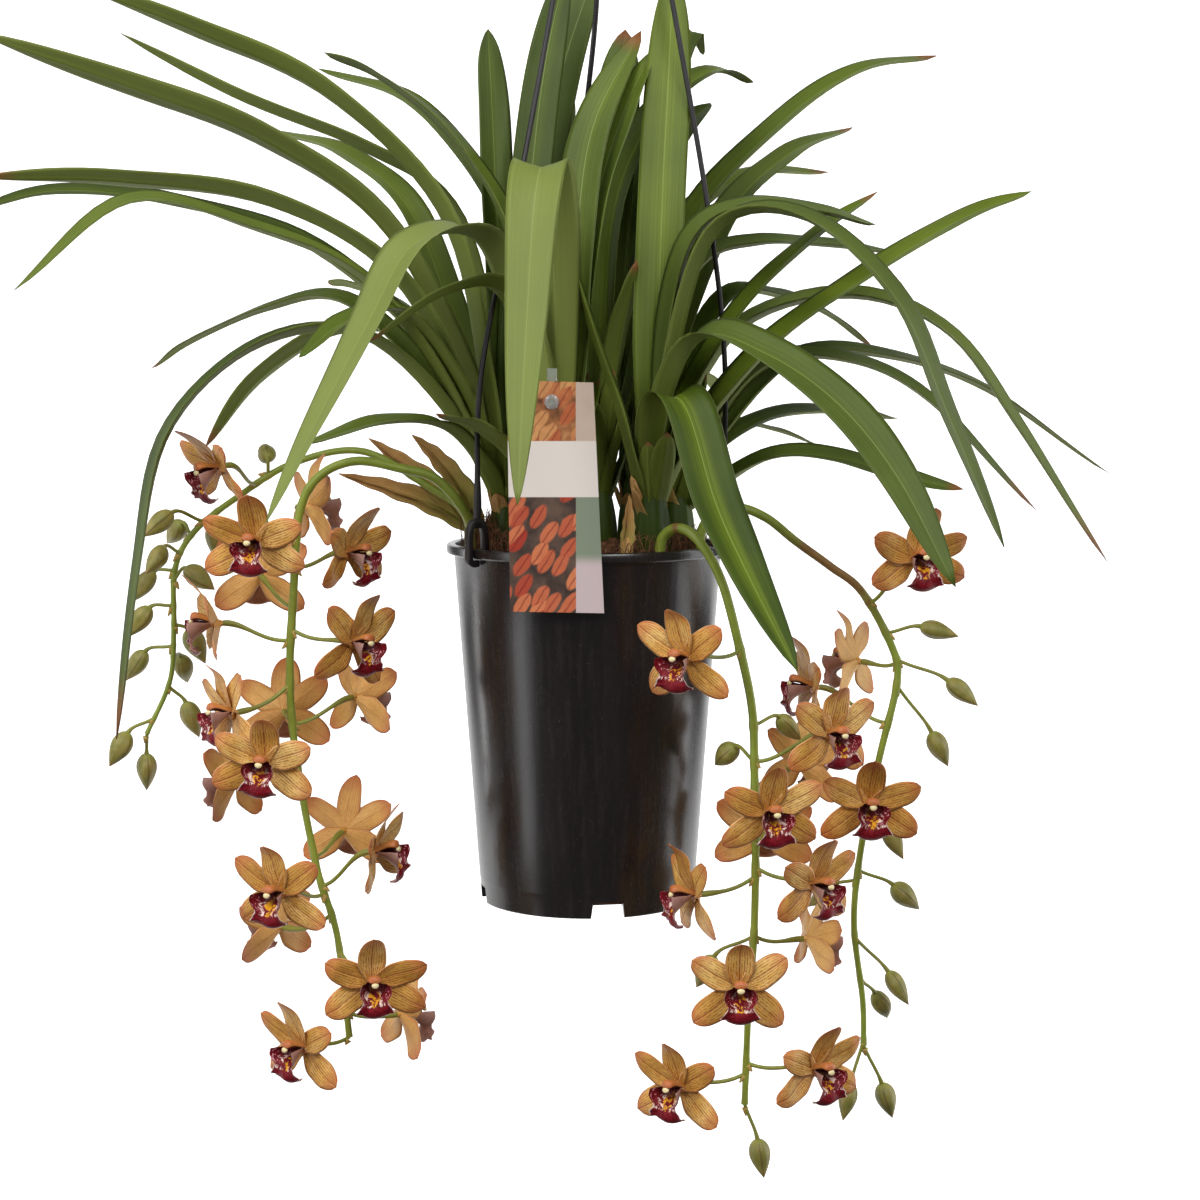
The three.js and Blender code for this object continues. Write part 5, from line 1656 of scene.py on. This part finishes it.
def bud_line(root, centre, droop):
    axis, neck = bud_frame(root, centre, droop)
    reach = np.linalg.norm(neck - root)
    t = np.linspace(0, 1, 18)
    path = bezier(root, mix(root, neck, 0.4) - UP * 0.05 * reach, neck - axis * 0.3 * reach, neck + axis, t)
    return path, 1.1 + 0.5 * ease((t - 0.7) / 0.3), 0.45 + 0.4 * t


def joints_of(spike, kind):
    """Each joint of a kind: its point on the stem, the middle of its bloom or bud, and the rest."""
    for joint, centre, *rest in spike[kind]:
        yield along(spike["stem"], joint)[0], np.array(centre, float), *rest


def stem_lines(spike):
    stem = np.array(spike["stem"], float)
    foot = stem[0].copy()
    foot[2] = -SOIL_DEPTH - ROOT_DEPTH + 1
    t = np.linspace(0, 1, STEM_POINTS)
    swell = sum(bell(t - row[0], 0.006) for row in spike["blooms"] + spike["buds"])
    swell = np.minimum(swell, 1)
    radius = mix(*spike["radii"], t) * (1 + 0.16 * swell)
    place, strength, length = spike.get("brown", (0.02, 0.5, 0.08))
    age = strength * bell(t - place, length, 4) + 0.25 * swell
    path = np.vstack([foot, along(stem, t)])
    lines = [(path, np.append(radius[0], radius), np.append(age[0], age))]
    for root, centre, azimuth, elevation, _ in joints_of(spike, "blooms"):
        lines.append(stalk_line(root, centre, bearing(azimuth, elevation)))
    return lines + [bud_line(*joint, spike.get("droop", BUD_DROOP)) for joint in joints_of(spike, "buds")]


spikes["spike_far_right"] |= {"brown": (0.39, 1.1, 0.11), "droop": 0.3}
spikes["spike_right"]["brown"] = (0.17, 1.0, 0.018)
for name, spike in spikes.items():
    stem = tubes(name.replace("spike", "stem"), stem_lines(spike), stem_green, 14)
    settle(stem, "stem", name)
    print(stem.name, len(stem.data.polygons), "faces")

# %% [markdown]
# A small dry bract sits where each stalk leaves the stem. All bracts are the same little pointed
# cap, so a third tree puts one copy on each joint, turned along its stalk and sized at random.


# %% The bract tree
def bract_tree():
    call, joints, length, finish = new_tree("bracts_on_joints", Length=0.0042)
    cap = call("GeometryNodeMeshCone", {
        "Vertices": 12, "Side Segments": 4, "Radius Top": 0.0005, "Radius Bottom": 0.0024, "Depth": length,
    })
    way = call("GeometryNodeInputNamedAttribute", {"Name": "way"}, data_type="FLOAT_VECTOR")
    turn = call("FunctionNodeAlignRotationToVector", {"Vector": way}, axis="Z")
    sizes = {0: (0.75, 0.75, 0.7), 1: (1.1, 1.1, 1.35), "Seed": 3}
    size = call("FunctionNodeRandomValue", sizes, data_type="FLOAT_VECTOR")
    laid = call(
        "GeometryNodeInstanceOnPoints", {"Points": joints, "Instance": cap, "Rotation": turn, "Scale": size},
    )
    whole = call("GeometryNodeRealizeInstances", {"Geometry": laid})
    return end_tree(call("GeometryNodeSetShadeSmooth", {"Geometry": whole}), finish)


BRACT_OFFSET = 2.2
bract_rule = bract_tree()
for name, spike in spikes.items():
    joints, centres = zip(*[row[:2] for row in spike["blooms"] + spike["buds"]])
    roots = along(spike["stem"], joints)
    ways = unit(np.array(centres, float) - roots)
    ways = unit(ways * 0.7 + heading(spike["stem"], joints) * 0.9)
    mesh = mesh_of(name + "_joints", roots + ways * BRACT_OFFSET)
    mesh.attributes.new("way", "FLOAT_VECTOR", "POINT").data.foreach_set("vector", ways.ravel())
    source = placed(name + "_joints", mesh)
    bracts = grown(name.replace("spike", "bracts"), source, bract_rule, Finish=husk_brown)
    settle(bracts, "stem", name)
print("bract tree:", len(bract_rule.nodes), "nodes")

# %% [markdown]
# Buds are pointed eggs with three shallow seams, where the outer sepals meet. They hang and point
# a little down. Each is a skin of rings whose radius follows the egg's outline.


# %% Buds
def bud_skin(skins, root, centre, droop):
    axis, neck = bud_frame(root, centre, droop)
    side = unit(np.cross(axis, UP if abs(axis[2]) < 0.9 else np.array([1.0, 0, 0])))
    other = np.cross(axis, side)
    t = np.linspace(0, 1, 22)
    size = stem_random.uniform(0.94, 1.18)
    outline = BUD_RADIUS * size * np.sin(np.pi * t**0.82) ** 0.85 * (1 - 0.28 * t) + 1.3 * (1 - t) ** 3
    outline = np.maximum(outline, 0.25)
    angles = ring(30) + stem_random.random() * 6
    seams = bell(np.mod(angles * 3, 2 * np.pi) - np.pi, 0.35)
    lobes = 1 + 0.05 * np.cos(3 * angles) - 0.05 * seams
    bend = side * (1.6 * np.sin(np.pi * t) * stem_random.uniform(-1, 1))[:, None]
    spine = neck + axis * (BUD_LENGTH * t)[:, None] + bend
    radial = np.cos(angles)[:, None] * side + np.sin(angles)[:, None] * other
    rings = spine[:, None] + outline[:, None, None] * lobes[None, :, None] * radial[None]
    skins.tube(rings, tone=stem_random.random())


for name, spike in spikes.items():
    if spike["buds"]:
        skins = Skins()
        for joint in joints_of(spike, "buds"):
            bud_skin(skins, *joint, spike.get("droop", BUD_DROOP))
        buds = settle(skins.make(name.replace("spike", "buds"), [bud_olive]), "stem", name)
        print(buds.name, len(buds.data.polygons), "faces")

# %% [markdown]
# ## Blooms
# Each bloom is one piece: five tepals, the lip and the column. It is drawn in the flower's own
# axes, with x across, y up and z towards the viewer, and then turned to look where the table
# says. Three shapes of flower alternate, some wide open and some nodding, and every tepal gets
# its own small twist, length and wave from a fixed seed.

# %% Tepals
TEPAL_ROWS, TEPAL_COLUMNS = 22, 13
forms = [
    {"petal": 58, "sepal": 122, "open": 0.0},
    {"petal": 64, "sepal": 116, "open": 2.5},
    {"petal": 52, "sepal": 128, "open": -2.0},
]


def tepals_of(form):
    """Turn from the dorsal direction, length, width, rise at 42, 76 and 100 %, and layer."""
    o = form["open"]
    petal = (35, 17, (3, 5.5 + o, 5 + o), 0.6)
    sepal = (35, 18.5, (2, 3.5 + o, 2 + o), -0.9)
    return [
        (0, 33.5, 19.5, (4, 9.5 + o, 16 + o), -0.2),
        (form["petal"], *petal), (-form["petal"], *petal),
        (form["sepal"], *sepal), (-form["sepal"], *sepal),
    ]


def tepal_sides(tepal, chance):
    """The two sides of one tepal in the flower's axes."""
    turn, length, width, rises, layer = tepal
    turn = math.radians(turn + chance.uniform(-4, 4))
    length *= chance.uniform(0.96, 1.03)
    width *= chance.uniform(0.92, 1.03)
    s = np.linspace(0.04, 1, TEPAL_ROWS)
    x = np.linspace(-1, 1, TEPAL_COLUMNS)
    lift = along([(0, -1.0), (0.42, rises[0]), (0.76, rises[1]), (1, rises[2])], np.linspace(0, 1, 60))
    z = np.interp(s, lift[:, 0], lift[:, 1]) + layer * (1 - s)
    z = z + chance.uniform(-1.2, 1.2) * s**2
    share = np.clip((s - 0.48) / 0.52, 0, 1)
    outline = (0.42 + 0.58 * ease(s / 0.42)) * (1 - share**2.7) ** 0.58
    half = np.maximum(width / 2 * outline, 0.35)
    cup = mix(2.8, -1.3, ease(s / 0.85)) * half / 8
    wave = 0.45 * np.sin(s[:, None] * chance.uniform(8, 13) + x * 1.5 + chance.uniform(0, 6))
    twist = math.radians(chance.uniform(-16, 16)) * s
    sway = chance.uniform(-1.6, 1.6) * s**2
    sideways = x * half[:, None]
    height = z[:, None] + cup[:, None] * x**2 + wave * np.abs(x) ** 3 * s[:, None]
    height = height - 0.35 * bell(x, 0.1)
    height = height + sideways * np.tan(twist)[:, None]
    thick = (0.3 + 0.6 * (1 - x**2)) * (1.15 - 0.6 * s[:, None])
    out = np.array([math.sin(turn), math.cos(turn), 0.0])
    side = np.array([math.cos(turn), -math.sin(turn), 0.0])
    base = out * (length * s)[:, None, None] + side * (sideways + sway[:, None])[..., None]
    ahead = np.array([0, 0, 1.0])
    return base + ahead * height[..., None], base + ahead * (height - thick)[..., None], s


# %% [markdown]
# The lip is a single sheet. Its cross-section is an arc, whose length and bend change on the way:
# narrow at the hinge, a deep trough where the two side lobes stand up, a notch, and then the front
# lobe, which bends back and is wavy at its rim. Two ridges run down its middle.


# %% Lip and column
LIP_ROWS, LIP_COLUMNS = 46, 29
lip_line = [(1.0, 1.5), (-2.0, 6), (-4.8, 10.6), (-7.6, 14.4), (-11.2, 16.9), (-15.2, 16.9), (-18.4, 14.2)]
lip_reach = [(0, 2.6), (0.14, 6.4), (0.28, 11.6), (0.4, 15.2), (0.46, 13.2), (0.53, 8.0), (0.59, 7.8),
             (0.68, 9.8), (0.78, 11.4), (0.88, 11.6), (0.95, 10.6), (1, 8.6)]
lip_bend = [(0, 50), (0.16, 84), (0.4, 104), (0.5, 66), (0.58, 34), (0.68, 6), (0.84, -26), (1, -44)]


def lip_sides(chance):
    v = np.linspace(0, 1, LIP_ROWS)
    u = np.linspace(-1, 1, LIP_COLUMNS)
    line = along(lip_line, v)
    way = heading(lip_line, v)
    rise_way = np.c_[way[:, 1], -way[:, 0]]
    reach = np.interp(v, *zip(*lip_reach)) * chance.uniform(1.06, 1.16)
    bend = np.radians(np.interp(v, *zip(*lip_bend)))
    bend = np.where(np.abs(bend) < 0.02, 0.02, bend)
    radius = reach / bend
    angle = u * bend[:, None]
    x = radius[:, None] * np.sin(angle)
    rise = radius[:, None] * (1 - np.cos(angle))
    front = ease((v - 0.55) / 0.12)[:, None]
    phase = chance.uniform(0, 6)
    rise = rise + front * 0.95 * np.sin(v[:, None] * 34 + u * 5 + phase) * np.abs(u) ** 4
    ridge = bell(np.abs(u) - 0.15, 0.07)
    rise = rise + 1.2 * ridge * (ease(v / 0.1) * ease((0.66 - v) / 0.1))[:, None]
    rise = rise + 0.5 * front * np.cos(u * 6) * ease((1 - v) / 0.2)[:, None]
    points = np.empty((LIP_ROWS, LIP_COLUMNS, 3))
    points[..., 0] = x
    points[..., 1:] = line[:, None] + rise_way[:, None] * rise[..., None]
    slope = np.gradient(points, axis=0)
    cross = np.gradient(points, axis=1)
    normal = unit(np.cross(cross, slope) + 1e-9)
    flip = np.sign(np.sum(normal[:, LIP_COLUMNS // 2, 1:] * rise_way, axis=1))
    normal = normal * flip[:, None, None]
    thick = (0.28 + 0.5 * (1 - u**2))[None, :, None]
    return points, points - normal * thick, v


def round_body(skins, stations, finish, squash=1.0, dark=False, sides=18, steps=14, **values):
    """A closed body over ellipses at stations of height, depth, half width and half height."""
    rows = along(stations, np.linspace(0, 1, steps))
    a = ring(sides)
    below = np.clip(-np.sin(a), 0, 1)
    wide = rows[:, 2:3] * np.cos(a)
    tall = rows[:, 3:4] * np.sin(a) * np.where(np.sin(a) < 0, squash, 1.0)
    rings = np.stack([wide, rows[:, 0:1] + tall, np.broadcast_to(rows[:, 1:2], wide.shape)], axis=-1)
    if dark:
        values["tone"] = np.broadcast_to(ease(below * 2.2), (steps, sides))
    skins.tube(rings, finish=finish, **values)


# %% One bloom
BLOOM_SEED = 500


def bloom_piece(number, centre, azimuth, elevation, roll):
    chance = np.random.default_rng(BLOOM_SEED + number)
    skins = Skins()
    for tepal in tepals_of(forms[number % len(forms)]):
        skins.sheet(*tepal_sides(tepal, chance), tone=chance.random())
    skins.sheet(*lip_sides(chance), finish=1, tone=chance.random())
    column = [(0.6, -0.6, 3.2, 2.9), (2.2, 3.5, 3.1, 2.8), (4.6, 8.5, 3.5, 3.0), (5.6, 12.2, 4.1, 3.2),
              (5.4, 14.6, 3.7, 2.9), (4.9, 15.7, 1.4, 1.2)]
    round_body(skins, column, 2, squash=0.6, dark=True)
    cap = [(3.4, 13.9, 0.4, 0.3), (3.4, 14.4, 1.8, 1.4), (3.2, 15.5, 2.3, 1.7), (2.9, 16.5, 1.6, 1.2),
           (2.8, 16.9, 0.3, 0.2)]
    round_body(skins, cap, 3)
    knot = [(0, -BLOOM_BACK, 1.7, 1.7), (0, -2.4, 2.3, 2.3), (0, -0.6, 3.4, 3.4), (0, 0.8, 3.6, 3.6),
            (0, 1.4, 1.0, 1.0)]
    round_body(skins, knot, 0, tone=chance.random())
    look = bearing(azimuth, elevation)
    top = turned(UP, look, np.radians(roll))
    across = unit(np.cross(top, look))
    up = np.cross(look, across)
    turn = np.stack([across, up, look])
    skins.points = [np.array(centre, float) + points @ turn for points in skins.points]
    piece = skins.make(f"flower_{number:02d}", [tepal_gold, lip_crimson, column_red, cap_cream])
    return settle(piece, "petal", f"bloom_{number:02d}")


blooms = [row[1:] for spike in spikes.values() for row in spike["blooms"]]
for number, (centre, azimuth, elevation, roll) in enumerate(blooms, start=1):
    flower = bloom_piece(number, centre, azimuth, elevation, roll)
print("flowers:", len(blooms), "faces each:", len(flower.data.polygons))

# %% [markdown]
# ## Count the pieces
# The script ends by counting the finished pieces and their triangles.

# %% Pieces and triangles
print("pieces:", len(made), "triangles:", sum(len(p.data.loop_triangles) for p in made))
